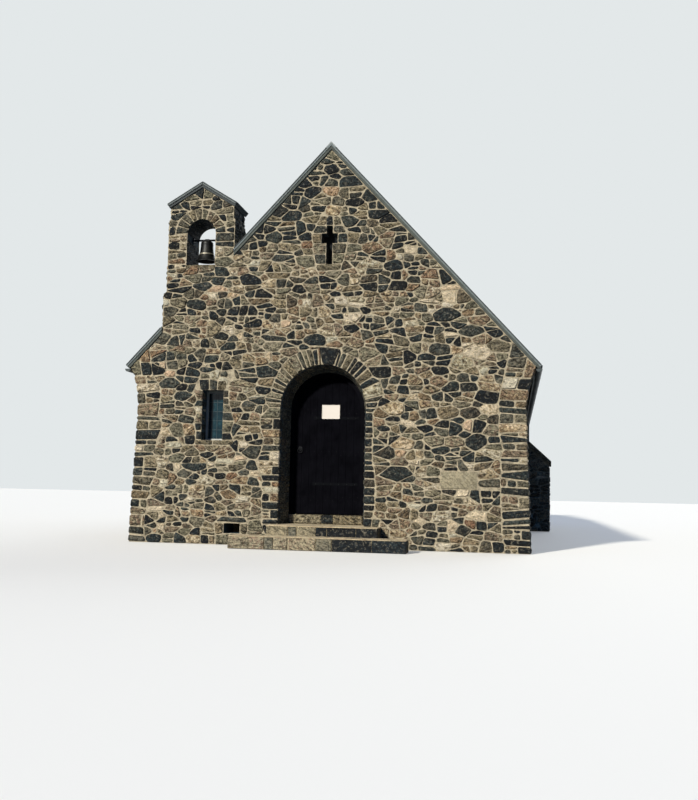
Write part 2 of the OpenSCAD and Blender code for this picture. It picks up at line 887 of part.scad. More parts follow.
front_wall_left();
front_wall_right();
door_footing();
door_arch();
arch_spandrel_left();
arch_spandrel_right();
front_gable();
side_wall_left();
side_wall_right();
rear_wall();
rear_gable();
floor();
roof_deck_left();
roof_deck_right();
slates_left();
slates_right();
ridge_capping();
fascias();
gutters();
downpipes();
buttresses();
buttress_caps();
step_lower();
step_upper();
threshold();
door_frame();
door_leaf();
door_ledges();
door_straps();
door_hinges();
door_pintles();
door_handle();
front_window();
side_windows();
rear_windows();
window_glass();
cross_glass();
cote_shaft();
cote_pier_left();
cote_pier_right();
cote_head();
cote_roof_left();
cote_roof_right();
cote_sill_stone();
bell_bearings();
bell_axle();
bell_hanger();
bell();
clapper_staple();
clapper();
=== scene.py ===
"""Dresses the solid model of a small stone chapel in rubble, slates, timber, iron and glass.

All sizes are in metres, in the frame of the solid model: the front wall's outer face is y = 0,
z = 0 is the foot of the walls, x = 0 is the middle of the nave, and +Y runs into the building.
"""
import math
import random

import bpy
from mathutils import Matrix, Vector


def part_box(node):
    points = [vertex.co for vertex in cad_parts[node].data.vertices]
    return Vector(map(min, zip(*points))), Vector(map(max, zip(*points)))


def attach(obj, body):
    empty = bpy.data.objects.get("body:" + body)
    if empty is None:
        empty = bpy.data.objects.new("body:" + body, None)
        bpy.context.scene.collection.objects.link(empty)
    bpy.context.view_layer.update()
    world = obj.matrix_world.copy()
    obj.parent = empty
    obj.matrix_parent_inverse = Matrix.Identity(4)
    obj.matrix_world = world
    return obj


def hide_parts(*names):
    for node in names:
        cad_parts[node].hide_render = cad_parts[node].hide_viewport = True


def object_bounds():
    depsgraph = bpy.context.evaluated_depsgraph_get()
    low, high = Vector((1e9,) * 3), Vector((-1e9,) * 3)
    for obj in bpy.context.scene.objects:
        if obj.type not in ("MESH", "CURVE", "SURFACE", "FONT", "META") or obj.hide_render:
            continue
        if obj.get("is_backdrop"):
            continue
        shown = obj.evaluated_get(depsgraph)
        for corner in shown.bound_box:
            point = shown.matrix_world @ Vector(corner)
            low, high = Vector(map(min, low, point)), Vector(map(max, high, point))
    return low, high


bl_info = {
    "name": "Small Stone Chapel",
    "version": (1, 0, 0),
    "blender": (4, 5, 0),
    "location": "3D View > Sidebar > Chapel",
    "description": "Dresses the solid model of a small chapel in stones, slates and timber",
    "category": "Add Mesh",
}

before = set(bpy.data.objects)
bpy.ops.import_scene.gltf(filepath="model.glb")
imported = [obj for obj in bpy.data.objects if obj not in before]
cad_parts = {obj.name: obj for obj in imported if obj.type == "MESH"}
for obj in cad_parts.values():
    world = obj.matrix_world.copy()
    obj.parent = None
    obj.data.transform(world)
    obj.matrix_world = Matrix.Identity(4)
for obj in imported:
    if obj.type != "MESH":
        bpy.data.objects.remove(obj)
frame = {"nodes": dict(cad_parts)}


def low(node):
    """Lowest corner of a solid's box."""
    return Vector(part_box(node)[0])


def high(node):
    """Highest corner of a solid's box."""
    return Vector(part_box(node)[1])


# Sizes of the solid model that the boxes of its solids don't give
KNEELER_OUT = 0.15
KNEELER_H = 0.68
DOOR_R = 0.70
LEAF_R = 0.552
COTE_OFFSET = 0.05
COTE_OFFSET_DROP = 0.485
COTE_STEP = 0.025
COTE_STEP_UP = 0.225
SLIT_T = 0.105
SLIT_ARM_LOW = 0.54
SLIT_ARM_H = 0.26
SASH_W = 0.034
SIDE_WINDOWS = 3
ROOF_PITCH = math.radians(47.3)
COTE_PITCH = math.radians(31.3)
# The air hole at the foot of the front: x and z of its corners
VENT = (-1.627, 0.181, -1.357, 0.341)

# The nave, read from its solids
WALL = high("front_wall_left").y
LENGTH = high("rear_wall").y
FOOT_X = high("front_wall_right").x
GABLE_Z = low("rear_gable").z
GABLE_TOP = high("rear_gable").z
SLOPE = (GABLE_TOP - GABLE_Z) / high("rear_gable").x
KNEELER_X = high("arch_spandrel_right").x
KNEELER_TOP = GABLE_TOP - KNEELER_X * SLOPE
KNEELER_Z = KNEELER_TOP - KNEELER_H
HALF_W = KNEELER_X - KNEELER_OUT
BATTER = FOOT_X - HALF_W
# The doorway
DOOR_X = (low("door_arch").x + high("door_arch").x) / 2
SPRING = low("door_arch").z
REVEAL = low("door_frame").y
THROAT_R = (high("door_frame").x - low("door_frame").x) / 2
SPLAY = (DOOR_R - THROAT_R) / REVEAL
STEP_TOP = high("step_upper").z
# The bell-cote
COTE_L = low("cote_pier_left").x
COTE_R = high("cote_pier_right").x
COTE_X = (COTE_L + COTE_R) / 2
COTE_HALF = (COTE_R - COTE_L) / 2
BELL_R = COTE_X - high("cote_pier_left").x
COTE_SPRING = low("cote_head").z
COTE_SILL = high("cote_sill_stone").z
COTE_HEAD_TOP = high("cote_head").z
COTE_OFFSET_Z = COTE_SILL - COTE_OFFSET_DROP
COTE_STEP_Z = COTE_SPRING + COTE_STEP_UP
# Buttresses and windows
BUTTRESS_X = high("buttresses").x
BUTTRESS_Y = (low("buttresses").y, high("buttresses").y)
BUTTRESS_TOP = high("buttresses").z
WINDOW_W = high("front_window").x - low("front_window").x
WINDOW_Z = (low("front_window").z, high("front_window").z)
WINDOW_X = -(high("front_window").x + low("front_window").x) / 2
WINDOW_SET = low("front_window").y


def linear(code):
    """Turns an sRGB hex colour into the linear colour that Blender works in."""
    channels = [int(code[i:i + 2], 16) / 255 for i in (1, 3, 5)]
    return tuple(c / 12.92 if c <= 0.04045 else ((c + 0.055) / 1.055) ** 2.4 for c in channels) + (1.0,)


def size(name, description, default, least, most):
    """A size in metres for the sidebar."""
    return bpy.props.FloatProperty(name=name, description=description, default=default, min=least,
                                   max=most, unit="LENGTH", subtype="DISTANCE", precision=4)


def colour(name, description, code):
    """A colour for the sidebar, given as sRGB hex."""
    return bpy.props.FloatVectorProperty(name=name, description=description, default=linear(code)[:3],
                                         min=0, max=1, size=3, subtype="COLOR")


class ChapelSizes(bpy.types.PropertyGroup):
    """Sizes of the stones, slates, boards and bars."""
    stone: size("Stone", "Side of a square as large as an average stone's face", 0.148, 0.1, 0.4)
    joint: size("Joint", "Width of the mortar joints", 0.019, 0.005, 0.04)
    relief: size("Relief", "How far the stones stand out of the mortar", 0.019, 0.004, 0.03)
    corner: size("Corner stone", "Height of an average stone at a corner", 0.128, 0.1, 0.4)
    gauge: size("Slate gauge", "Height of a course of slates, measured up the slope", 0.205, 0.1, 0.4)
    slate_w: size("Slate width", "Width of a slate", 0.25, 0.12, 0.5)
    board: size("Door board", "Width of a board of the door", 0.123, 0.06, 0.3)
    plate_w: size("Plate width", "Width of the plain plate on the door", 0.289, 0.1, 0.5)
    plate_h: size("Plate height", "Height of the plain plate on the door", 0.222, 0.1, 0.5)
    lead: size("Window lead", "Width of the leads between the panes", 0.009, 0.004, 0.03)


class ChapelColours(bpy.types.PropertyGroup):
    """Main colours of the finishes."""
    mortar: colour("Mortar", "Lime mortar between the stones", "#beb297")
    slate: colour("Slate", "Grey-green slate", "#788180")
    board: colour("Roof board", "Weathered grey boards under the slates", "#50554f")
    door: colour("Door timber", "Dark stained boards", "#0d0d11")
    frame: colour("Window frame", "Pale weathered paint", "#bdbcb3")
    bronze: colour("Bell", "Tarnished bronze where it is rubbed", "#24231f")
    iron: colour("Iron", "Blackened iron where it is rubbed", "#191a1c")
    plate: colour("Plate", "Plain pale plate", "#cbc3b8")
    floor: colour("Studio floor", "Plain pale floor", "#dcdad2")


# Materials


def rgba(shade):
    """The linear colour of a node, from a sidebar colour or an sRGB hex one."""
    return linear(shade) if isinstance(shade, str) else (*shade, 1.0)


def fit(tree, node, sockets):
    """Sets the inputs of a node, or links those whose value is another node's output."""
    for name, value in sockets.items():
        if isinstance(value, bpy.types.NodeSocket):
            tree.links.new(value, node.inputs[name])
        else:
            node.inputs[name].default_value = value


def add(tree, kind, sockets=None, stops=None, **settings):
    """Adds a node with its settings, its inputs and the stops of a ramp. Gives its outputs."""
    node = tree.nodes.new("ShaderNode" + kind)
    for name, value in settings.items():
        setattr(node, name, value)
    fit(tree, node, sockets or {})
    if stops:
        elements = node.color_ramp.elements
        while len(elements) < len(stops):
            elements.new(1.0)
        for element, (place, shade) in zip(elements, stops):
            element.position = place
            element.color = rgba(shade)
    return node.outputs


def start(name):
    """Starts a material: its nodes, its shader and the object's own coordinates."""
    material = bpy.data.materials.new(name)
    material.use_nodes = True
    tree = material.node_tree
    shader = tree.nodes["Principled BSDF"]
    place = add(tree, "TexCoord")["Object"]
    return material, tree, shader, place


def grey(value):
    """A grey hex colour from 0 to 255."""
    return "#%02x%02x%02x" % (value, value, value)


# From blue-black greywacke through olive, grey and brown to pale quartz, by their share of the wall
STONE_TONES = [(0.0, "#10161c"), (0.06, "#1a2329"), (0.13, "#29343a"), (0.22, "#3f4949"),
               (0.31, "#61645c"), (0.4, "#858170"), (0.51, "#a1997f"), (0.61, "#b8ad8f"),
               (0.7, "#c9bc9c"), (0.77, "#a78a75"), (0.81, "#b9a184"), (0.89, "#d6c6a1"),
               (0.96, "#fdf0d4")]
# Some stones are bluer than their tone, some browner or rusty
STONE_CASTS = [(0.0, "#fff6e8"), (0.25, "#fffaf2"), (0.36, "#ecf1f0"), (0.5, "#f0f3ee"),
               (0.6, "#ffffff"), (0.8, "#fff6e9"), (0.92, "#fae9db"), (1.0, "#f0d8c8")]
# Settings of a mix of two colours, and of one that darkens the first by the second
MIX = {"data_type": "RGBA"}
DARKEN = {"data_type": "RGBA", "blend_type": "MULTIPLY"}


def split_stone(name="split_greywacke", even=None, rough=1.0):
    """Split greywacke and sandstone: matt, streaked along its bed, each stone of its own tone.

    even gives one tone to a solid whose stones aren't modelled one by one, and rough says how far
    the streaks and hollows darken the face.
    """
    material, tree, shader, place = start(name)
    grain = add(tree, "Attribute", attribute_name="grain")["Fac"]
    # Every stone reads the noise at a place of its own, and its bed tilts a little
    away = add(tree, "Math", {0: grain, 1: 40.0}, operation="MULTIPLY")[0]
    moved = add(tree, "VectorMath", {0: place, 1: away}, operation="ADD")[0]
    lean = add(tree, "Math", {0: grain, 1: 1.2, 2: -0.6}, operation="MULTIPLY_ADD")[0]
    tilt = add(tree, "CombineXYZ", {0: lean, 1: lean})[0]
    own = add(tree, "VectorRotate", {"Vector": moved, "Rotation": tilt},
              rotation_type="EULER_XYZ")[0]
    # Streaks 28 mm apart down the face and 100 mm long
    flat = add(tree, "Mapping", {"Vector": own, "Scale": (10.0, 10.0, 36.0)})[0]
    streaks = add(tree, "TexNoise", {"Vector": flat, "Scale": 1.0, "Detail": 6.0, "Roughness": 0.75})["Fac"]
    # Blotches of 55 mm, and hollows and grit of 30 mm down to 3 mm
    blotches = add(tree, "TexNoise", {"Vector": own, "Scale": 18.0, "Detail": 5.0, "Roughness": 0.7})["Fac"]
    grit = add(tree, "TexNoise", {"Vector": own, "Scale": 33.0, "Detail": 6.0, "Roughness": 0.8})["Fac"]
    drift = add(tree, "Math", {0: blotches, 1: 0.7 * rough, 2: (even or 0.0) - 0.35 * rough},
                operation="MULTIPLY_ADD")[0]
    if even is None:
        tone = add(tree, "Attribute", attribute_name="tone")["Fac"]
        drift = add(tree, "Math", {0: tone, 1: drift}, operation="ADD")[0]
    base = add(tree, "ValToRGB", {"Fac": drift}, stops=STONE_TONES)["Color"]
    cast = add(tree, "ValToRGB", {"Fac": grain}, stops=STONE_CASTS)["Color"]
    # Tooled and worn stones are more of one colour than split ones
    share = 1.0 if rough == 1 else 0.25
    base = add(tree, "Mix", {0: share, 6: base, 7: cast}, **DARKEN)[2]
    # Quartz and cream stones are cleaner than the rest
    depth = add(tree, "MapRange", {"Value": drift, "From Min": 0.84, "From Max": 0.98,
                                   "To Min": rough, "To Max": 0.45 * rough})[0]
    light = add(tree, "ValToRGB", {"Fac": streaks},
                stops=[(0.36, grey(45)), (0.44, grey(150)), (0.52, grey(240)), (0.62, grey(255))])
    streaked = add(tree, "Mix", {0: depth, 6: base, 7: light["Color"]}, **DARKEN)[2]
    hollows = add(tree, "ValToRGB", {"Fac": grit},
                  stops=[(0.38, grey(35)), (0.45, grey(170)), (0.53, grey(250)), (0.8, grey(255))])
    rough_face = add(tree, "Mix", {0: depth, 6: streaked, 7: hollows["Color"]}, **DARKEN)[2]
    # Pale bloom and fresh breaks in patches of 20 to 50 mm
    patches = add(tree, "TexNoise", {"Vector": own, "Scale": 21.0, "Detail": 5.0, "Roughness": 0.7})["Fac"]
    bloom = add(tree, "MapRange", {"Value": patches, "From Min": 0.54, "From Max": 0.7,
                                   "To Min": 0.0, "To Max": 0.4})[0]
    stone = add(tree, "Mix", {0: bloom, 6: rough_face, 7: linear("#bbb29b")}, **MIX)[2]
    matt = add(tree, "MapRange", {"Value": grit, "To Min": 0.7, "To Max": 0.95})[0]
    fine = add(tree, "Math", {0: streaks, 1: 0.9, 2: grit}, operation="MULTIPLY_ADD")[0]
    relief = add(tree, "Math", {0: blotches, 1: 1.5, 2: fine}, operation="MULTIPLY_ADD")[0]
    bump = add(tree, "Bump", {"Height": relief, "Strength": rough, "Distance": 0.04})[0]
    fit(tree, shader, {"Base Color": stone, "Roughness": matt, "Normal": bump, "Specular IOR Level": 0.25})
    return material


def lime_mortar(colours):
    """Lime mortar brushed back to its sand: matt and pale, weathered darker in patches."""
    material, tree, shader, place = start("brushed_lime_mortar")
    sand = add(tree, "TexNoise", {"Vector": place, "Scale": 70.0, "Detail": 6.0, "Roughness": 0.8})["Fac"]
    stains = add(tree, "TexNoise", {"Vector": place, "Scale": 12.0, "Detail": 7.0, "Roughness": 0.75})["Fac"]
    dull = rgba([c * 0.42 for c in colours.mortar])
    amount = add(tree, "MapRange", {"Value": stains, "From Min": 0.4, "From Max": 0.62})[0]
    mixed = add(tree, "Mix", {0: amount, 6: rgba(colours.mortar), 7: dull}, **MIX)[2]
    grains = add(tree, "ValToRGB", {"Fac": sand},
                 stops=[(0.3, grey(110)), (0.5, grey(232)), (0.8, grey(255))])["Color"]
    sandy = add(tree, "Mix", {0: 0.8, 6: mixed, 7: grains}, **DARKEN)[2]
    # Inside the front wall's openings the mortar is painted dark, as painted shade in the recesses: in from
    # its face and its corners
    axes = add(tree, "SeparateXYZ", {"Vector": place})
    inside = add(tree, "ValToRGB", {"Fac": axes[1]},
                 stops=[(0.02, grey(0)), (0.05, grey(255)), (WALL - 0.06, grey(255)),
                        (WALL - 0.03, grey(0))])["Color"]
    reach = add(tree, "Math", {0: axes[0]}, operation="ABSOLUTE")[0]
    between = add(tree, "Math", {0: reach, 1: -COTE_L - 0.03}, operation="LESS_THAN")[0]
    recess_shade = add(tree, "Math", {0: inside, 1: between}, operation="MULTIPLY")[0]
    shaded_mortar = add(tree, "Mix", {0: recess_shade, 6: sandy, 7: linear("#3f4b50")}, **MIX)[2]
    bump = add(tree, "Bump", {"Height": sand, "Strength": 0.6, "Distance": 0.01})[0]
    fit(tree, shader, {"Base Color": shaded_mortar, "Roughness": 0.93, "Normal": bump, "Specular IOR Level": 0.2})
    return material


def riven_slate(colours, name="riven_slate", shade=0.0):
    """Riven slate, grey-green, each slate a little different, with pale spots.

    shade darkens the slates of a solid whose slates aren't modelled one by one.
    """
    material, tree, shader, place = start(name)
    tone = add(tree, "Attribute", attribute_name="tone")["Fac"]
    layers = add(tree, "TexNoise", {"Vector": place, "Scale": 22.0, "Detail": 7.0, "Roughness": 0.68})["Fac"]
    spots = add(tree, "TexNoise", {"Vector": place, "Scale": 48.0, "Detail": 3.0, "Roughness": 0.6})["Fac"]
    deep = rgba([c * share for c, share in zip(colours.slate, (0.42, 0.46, 0.5))])
    own = add(tree, "Mix", {0: shade or tone, 6: rgba(colours.slate), 7: deep}, **MIX)[2]
    veil = add(tree, "ValToRGB", {"Fac": layers},
               stops=[(0.3, grey(150)), (0.5, grey(228)), (0.75, grey(255))])["Color"]
    split = add(tree, "Mix", {0: 0.85, 6: own, 7: veil}, **DARKEN)[2]
    bloom = add(tree, "MapRange", {"Value": spots, "From Min": 0.62, "From Max": 0.69,
                                   "To Min": 0.0, "To Max": 0.5})[0]
    spotted = add(tree, "Mix", {0: bloom, 6: split, 7: linear("#aaac9a")}, **MIX)[2]
    rough = add(tree, "MapRange", {"Value": layers, "To Min": 0.6, "To Max": 0.85})[0]
    bump = add(tree, "Bump", {"Height": layers, "Strength": 0.35, "Distance": 0.006})[0]
    fit(tree, shader, {"Base Color": spotted, "Roughness": rough, "Normal": bump,
                       "Specular IOR Level": 0.25})
    return material


def sawn_wood(name, pale, deep, stretch, roughness, board=0.0, across=0, sheen=0.3):
    """Sawn boards: fine grain along one axis, weathered in patches.

    stretch scales the grain per metre on each axis. board is the width of the boards on a solid
    whose boards aren't modelled, counted along the axis across; 0 leaves them out.
    """
    material, tree, shader, place = start(name)
    along = add(tree, "Mapping", {"Vector": place, "Scale": stretch})[0]
    grain = add(tree, "TexNoise", {"Vector": along, "Scale": 1.0, "Detail": 5.0, "Roughness": 0.65})["Fac"]
    weather = add(tree, "TexNoise", {"Vector": place, "Scale": 4.0, "Detail": 6.0, "Roughness": 0.65})["Fac"]
    mixed = add(tree, "Math", {0: grain, 1: 0.6, 2: weather}, operation="MULTIPLY_ADD")[0]
    wood = add(tree, "ValToRGB", {"Fac": mixed}, stops=[(0.55, deep), (1.0, pale)])["Color"]
    height = grain
    if board:
        axes = add(tree, "SeparateXYZ", {"Vector": place})
        turns = add(tree, "Math", {0: axes[across], 1: 1 / board}, operation="MULTIPLY")[0]
        share = add(tree, "Math", {0: turns}, operation="FRACT")[0]
        side = add(tree, "Math", {0: share, 1: 0.5}, operation="SUBTRACT")[0]
        edge = add(tree, "Math", {0: side}, operation="ABSOLUTE")[0]
        # The joint between two boards is 6 mm wide
        groove = add(tree, "MapRange", {"Value": edge, "From Min": 0.5 - 0.003 / board, "From Max": 0.5,
                                        "To Min": 1.0, "To Max": 0.1})[0]
        # The cut ends of the boards, which face along the roof, show no joints
        facing = add(tree, "NewGeometry")["True Normal"]
        ends = add(tree, "SeparateXYZ", {"Vector": facing})[1]
        flank = add(tree, "Math", {0: ends}, operation="ABSOLUTE")[0]
        shown = add(tree, "Math", {0: flank, 1: 0.5}, operation="LESS_THAN")[0]
        wood = add(tree, "Mix", {0: shown, 6: wood, 7: groove}, **DARKEN)[2]
        height = add(tree, "Math", {0: groove, 1: 3.0, 2: grain}, operation="MULTIPLY_ADD")[0]
    bump = add(tree, "Bump", {"Height": height, "Strength": 0.4, "Distance": 0.004})[0]
    fit(tree, shader, {"Base Color": wood, "Roughness": roughness, "Normal": bump,
                       "Specular IOR Level": sheen})
    return material


def worn_metal(name, base, rubbed, metallic, roughness, pits=160.0, sheen=0.5, rub_and_highlight_band=None):
    """Metal with a painted, blackened or tarnished skin, worn and stained unevenly.

    The last argument gives the foot, the top and the colour of a stretch painted bright: partly rubbed metal,
    partly a painted highlight.
    """
    material, tree, shader, place = start(name)
    clouds = add(tree, "TexNoise", {"Vector": place, "Scale": 14.0, "Detail": 7.0, "Roughness": 0.7})["Fac"]
    # Hammer marks and pits, 6 mm apart unless the finish says otherwise
    marks = add(tree, "TexNoise", {"Vector": place, "Scale": pits, "Detail": 3.0, "Roughness": 0.6})["Fac"]
    mixed = add(tree, "ValToRGB", {"Fac": clouds},
                stops=[(0.4, base), (0.68, rubbed)])["Color"]
    if rub_and_highlight_band:
        height = add(tree, "SeparateXYZ", {"Vector": place})[2]
        foot, top, shine = rub_and_highlight_band
        off = add(tree, "Math", {0: height, 1: (foot + top) / 2}, operation="SUBTRACT")[0]
        away = add(tree, "Math", {0: off}, operation="ABSOLUTE")[0]
        half = (top - foot) / 2
        bright = add(tree, "MapRange", {"Value": away, "From Min": half, "From Max": half + 0.006,
                                        "To Min": 1.0, "To Max": 0.0})[0]
        mixed = add(tree, "Mix", {0: bright, 6: mixed, 7: linear(shine)}, **MIX)[2]
    rough = add(tree, "MapRange", {"Value": clouds, "To Min": roughness - 0.12,
                                   "To Max": roughness + 0.15})[0]
    bump = add(tree, "Bump", {"Height": marks, "Strength": 0.3, "Distance": 0.002})[0]
    fit(tree, shader, {"Base Color": mixed, "Metallic": metallic, "Roughness": rough, "Normal": bump,
                       "Specular IOR Level": sheen})
    return material


def drawn_glass():
    """Old drawn glass in front of a dark room: blue-green, wavy, dusty in patches."""
    material, tree, shader, place = start("old_drawn_glass")
    waves = add(tree, "TexNoise", {"Vector": place, "Scale": 9.0, "Detail": 2.0})["Fac"]
    dust = add(tree, "TexNoise", {"Vector": place, "Scale": 12.0, "Detail": 6.0, "Roughness": 0.7})["Fac"]
    # The dark tint is painted shade: the dark room behind the glass
    tint = add(tree, "ValToRGB", {"Fac": dust},
               stops=[(0.35, "#041a22"), (0.55, "#0b2a33"), (0.72, "#1f3f46")])["Color"]
    bump = add(tree, "Bump", {"Height": waves, "Strength": 0.15, "Distance": 0.01})[0]
    fit(tree, shader, {"Base Color": tint, "Roughness": 0.12, "Normal": bump, "Specular IOR Level": 0.32})
    return material


def pale_card(colours):
    """A plain card plate under clear film: pale and even, with a satin sheen."""
    material, tree, shader, place = start("plain_pale_card")
    fibres = add(tree, "TexNoise", {"Vector": place, "Scale": 300.0, "Detail": 2.0})["Fac"]
    soft = rgba([c * 0.9 for c in colours.plate])
    mixed = add(tree, "Mix", {0: fibres, 6: rgba(colours.plate), 7: soft}, **MIX)[2]
    fit(tree, shader, {"Base Color": mixed, "Roughness": 0.35})
    return material


def dress(nodes, material):
    """Gives solids of the model their finish."""
    for name in nodes:
        mesh = frame["nodes"][name].data
        mesh.materials.clear()
        mesh.materials.append(material)


# Flat polygons, as lists of (u, v) that run anticlockwise


def clip(shape, nu, nv, d):
    """The part of a convex polygon where nu * u + nv * v is at most d."""
    kept = []
    count = len(shape)
    for i in range(count):
        au, av = shape[i]
        bu, bv = shape[(i + 1) % count]
        da = nu * au + nv * av - d
        db = nu * bu + nv * bv - d
        if da <= 0:
            kept.append((au, av))
        if (da < 0 < db) or (db < 0 < da):
            t = da / (da - db)
            kept.append((au + (bu - au) * t, av + (bv - av) * t))
    return kept


def sides(shape):
    """The sides of a polygon, each as its two ends."""
    return zip(shape[-1:] + shape[:-1], shape)


def area(shape):
    """Area of a polygon, positive where it runs anticlockwise."""
    return 0.5 * sum(a[0] * b[1] - b[0] * a[1] for a, b in sides(shape))


def middle(shape):
    """Middle of a polygon's corners."""
    return (sum(p[0] for p in shape) / len(shape), sum(p[1] for p in shape) / len(shape))


def spans(shape):
    """Width and height of a polygon's box."""
    return (max(p[0] for p in shape) - min(p[0] for p in shape),
            max(p[1] for p in shape) - min(p[1] for p in shape))


def inset(shape, gap, rng):
    """A convex polygon drawn in on every side by about a gap."""
    kept = shape
    count = len(shape)
    for i in range(count):
        (au, av), (bu, bv) = shape[i], shape[(i + 1) % count]
        run = math.hypot(bu - au, bv - av)
        if run < 1e-6:
            continue
        nu, nv = (bv - av) / run, -(bu - au) / run
        kept = clip(kept, nu, nv, nu * au + nv * av - gap * rng.uniform(0.4, 1.5))
        if len(kept) < 3:
            return []
    return kept


def mirrored(shape):
    """A shape turned over about u = 0, still anticlockwise."""
    return [(-u, v) for u, v in reversed(shape)]


def parted(shape, limit, rng):
    """Breaks a convex polygon into stones: long ones across, tall ones along their bed."""
    here = area(shape)
    if here < limit * rng.uniform(0.55, 2.6):
        return [shape]
    wide, tall = spans(shape)
    if tall * rng.uniform(1.35, 2.1) > wide:
        turn = rng.uniform(-0.16, 0.16)
        nu, nv = math.sin(turn), math.cos(turn)
    else:
        turn = rng.uniform(-0.3, 0.3)
        nu, nv = math.cos(turn), math.sin(turn)
    reach = [nu * u + nv * v for u, v in shape]
    d = min(reach) + (max(reach) - min(reach)) * rng.uniform(0.36, 0.64)
    parts = []
    for piece in (clip(shape, nu, nv, d), clip(shape, -nu, -nv, -d)):
        if len(piece) >= 3 and area(piece) > 1e-5:
            parts += parted(piece, limit, rng)
    return parts


def worn(shape, rng):
    """A polygon with its corners knocked off and its longer edges made uneven."""
    count = len(shape)
    outline = []
    for i in range(count):
        (au, av), (bu, bv), (cu, cv) = shape[i - 1], shape[i], shape[(i + 1) % count]
        back, ahead = math.hypot(bu - au, bv - av), math.hypot(cu - bu, cv - bv)
        if back < 1e-5 or ahead < 1e-5:
            continue
        cut = rng.uniform(0.01, 0.042)
        one, two = min(cut, back * 0.36), min(cut * rng.uniform(0.6, 1.5), ahead * 0.36)
        pu, pv = bu + (au - bu) * one / back, bv + (av - bv) * one / back
        qu, qv = bu + (cu - bu) * two / ahead, bv + (cv - bv) * two / ahead
        outline.append((pu, pv))
        if min(one, two) > 0.018:
            outline.append(((pu + qu) * 0.3 + bu * 0.4, (pv + qv) * 0.3 + bv * 0.4))
        outline.append((qu, qv))
        steps = 0 if ahead < 0.075 else 1 if ahead < 0.16 else 2
        for k in range(steps):
            t = (k + rng.uniform(0.75, 1.25)) / (steps + 1)
            bow = rng.uniform(-0.006, 0.007)
            outline.append((bu + (cu - bu) * t + (cv - bv) / ahead * bow,
                            bv + (cv - bv) * t - (cu - bu) / ahead * bow))
    return outline


def foot_on(edge, u, v):
    """Nearest point of an edge, its distance, and whether it lies within the edge."""
    (au, av), (bu, bv) = edge
    du, dv = bu - au, bv - av
    run = du * du + dv * dv
    t = ((u - au) * du + (v - av) * dv) / run if run else 0
    c = min(1, max(0, t))
    fu, fv = au + du * c, av + dv * c
    return fu, fv, math.hypot(u - fu, v - fv), -0.02 <= t <= 1.02


def side_of(edge, u, v):
    """Which side of an edge's line a point lies on."""
    (au, av), (bu, bv) = edge
    return (bu - au) * (v - av) - (bv - av) * (u - au) > 0


class Region:
    """A stretch of wall face to fill with stones: its outline, its holes and its straight cracks."""

    def __init__(self, outline, holes=(), cracks=()):
        self.loops = [outline, *holes]
        self.cracks = list(cracks)

    def edges(self):
        """All edges of the loops and cracks, in the stretched measure."""
        found = []
        for loop in self.loops:
            found += [(a, b) for a, b in sides(loop) if a != b]
        return [stretched(e) for e in found + self.cracks]

    def holds(self, u, v):
        """Whether a point lies inside, clear of the holes."""
        inside = False
        for loop in self.loops:
            for (au, av), (bu, bv) in sides(loop):
                if (av > v) != (bv > v) and u < (bu - au) * (v - av) / (bv - av) + au:
                    inside = not inside
        return inside


# Stones lie flat, so a distance up the wall counts this much more than one along it
BEDDING = 1.75
# Sizes of stones thrown onto a wall, largest first, as shares of the average, with tries per square metre
STONE_SIZES = ((2.1, 1.5), (1.7, 5.0), (1.35, 12.0), (1.05, 28.0), (0.8, 60.0), (0.55, 90.0))
# Reach of a stone of average size, as a share of its side, and how near two stones may come, as a
# share of the sum of their reaches
REACH = 0.66
NEAREST = 0.88
# A stone is parted from this many of its nearest neighbours
NEIGHBOURS = 60
# How far a stone's back goes into the mortar, and the lowest and highest that its face may stand
STONE_BACK = 0.012
FACE_HEIGHTS = (0.003, 0.028)
# Area of the smallest stone that is made
SMALLEST = 0.0006


def stretched(edge):
    """An edge in the measure in which stones are as tall as wide."""
    return ((edge[0][0], edge[0][1] * BEDDING), (edge[1][0], edge[1][1] * BEDDING))


def square(u, v, pitch):
    """The square of a grid that a place lies in."""
    return int(u // pitch), int(v // pitch)


def neighbours(grid, u, v, pitch):
    """What a grid holds in a place's own square and in the eight round it."""
    i, j = square(u, v, pitch)
    return (item for a in (i - 1, i, i + 1) for b in (j - 1, j, j + 1) for item in grid.get((a, b), ()))


def scatter(region, stone, rng, landmarks=()):
    """Throws stones of falling size onto a region. Gives each one's place, reach and tone."""
    edges = region.edges()
    us = [p[0] for p in region.loops[0]]
    vs = [p[1] * BEDDING for p in region.loops[0]]
    base = REACH * stone * math.sqrt(BEDDING)
    pitch = 2.2 * base * STONE_SIZES[0][0]
    grid, placed = {}, []

    def place(u, v, r, tone):
        if not region.holds(u, v / BEDDING):
            return
        if any((u - a) ** 2 + (v - b) ** 2 < ((r + c) * NEAREST) ** 2
               for a, b, c, _ in neighbours(grid, u, v, pitch)):
            return
        if any(foot_on(e, u, v)[2] < 0.55 * r for e in edges):
            return
        seed = (u, v, r, tone)
        grid.setdefault(square(u, v, pitch), []).append(seed)
        placed.append(seed)

    for u, v, across, tone in landmarks:
        place(u, v * BEDDING, 0.5 * across * math.sqrt(BEDDING), tone)
    room = (max(us) - min(us)) * (max(vs) - min(vs))
    for share, tries in STONE_SIZES:
        for _ in range(int(tries * room)):
            place(rng.uniform(min(us), max(us)), rng.uniform(min(vs), max(vs)),
                  base * share * rng.uniform(0.92, 1.08), None)
    return placed, edges


def crosses(p, q, edge):
    """Whether the line from p to q crosses an edge."""
    return (side_of(edge, *p) != side_of(edge, *q)
            and side_of((p, q), *edge[0]) != side_of((p, q), *edge[1]))


def within(shape, u, v):
    """Whether a point lies inside a convex polygon."""
    return all((b[0] - a[0]) * (v - a[1]) >= (b[1] - a[1]) * (u - a[0]) for a, b in sides(shape))


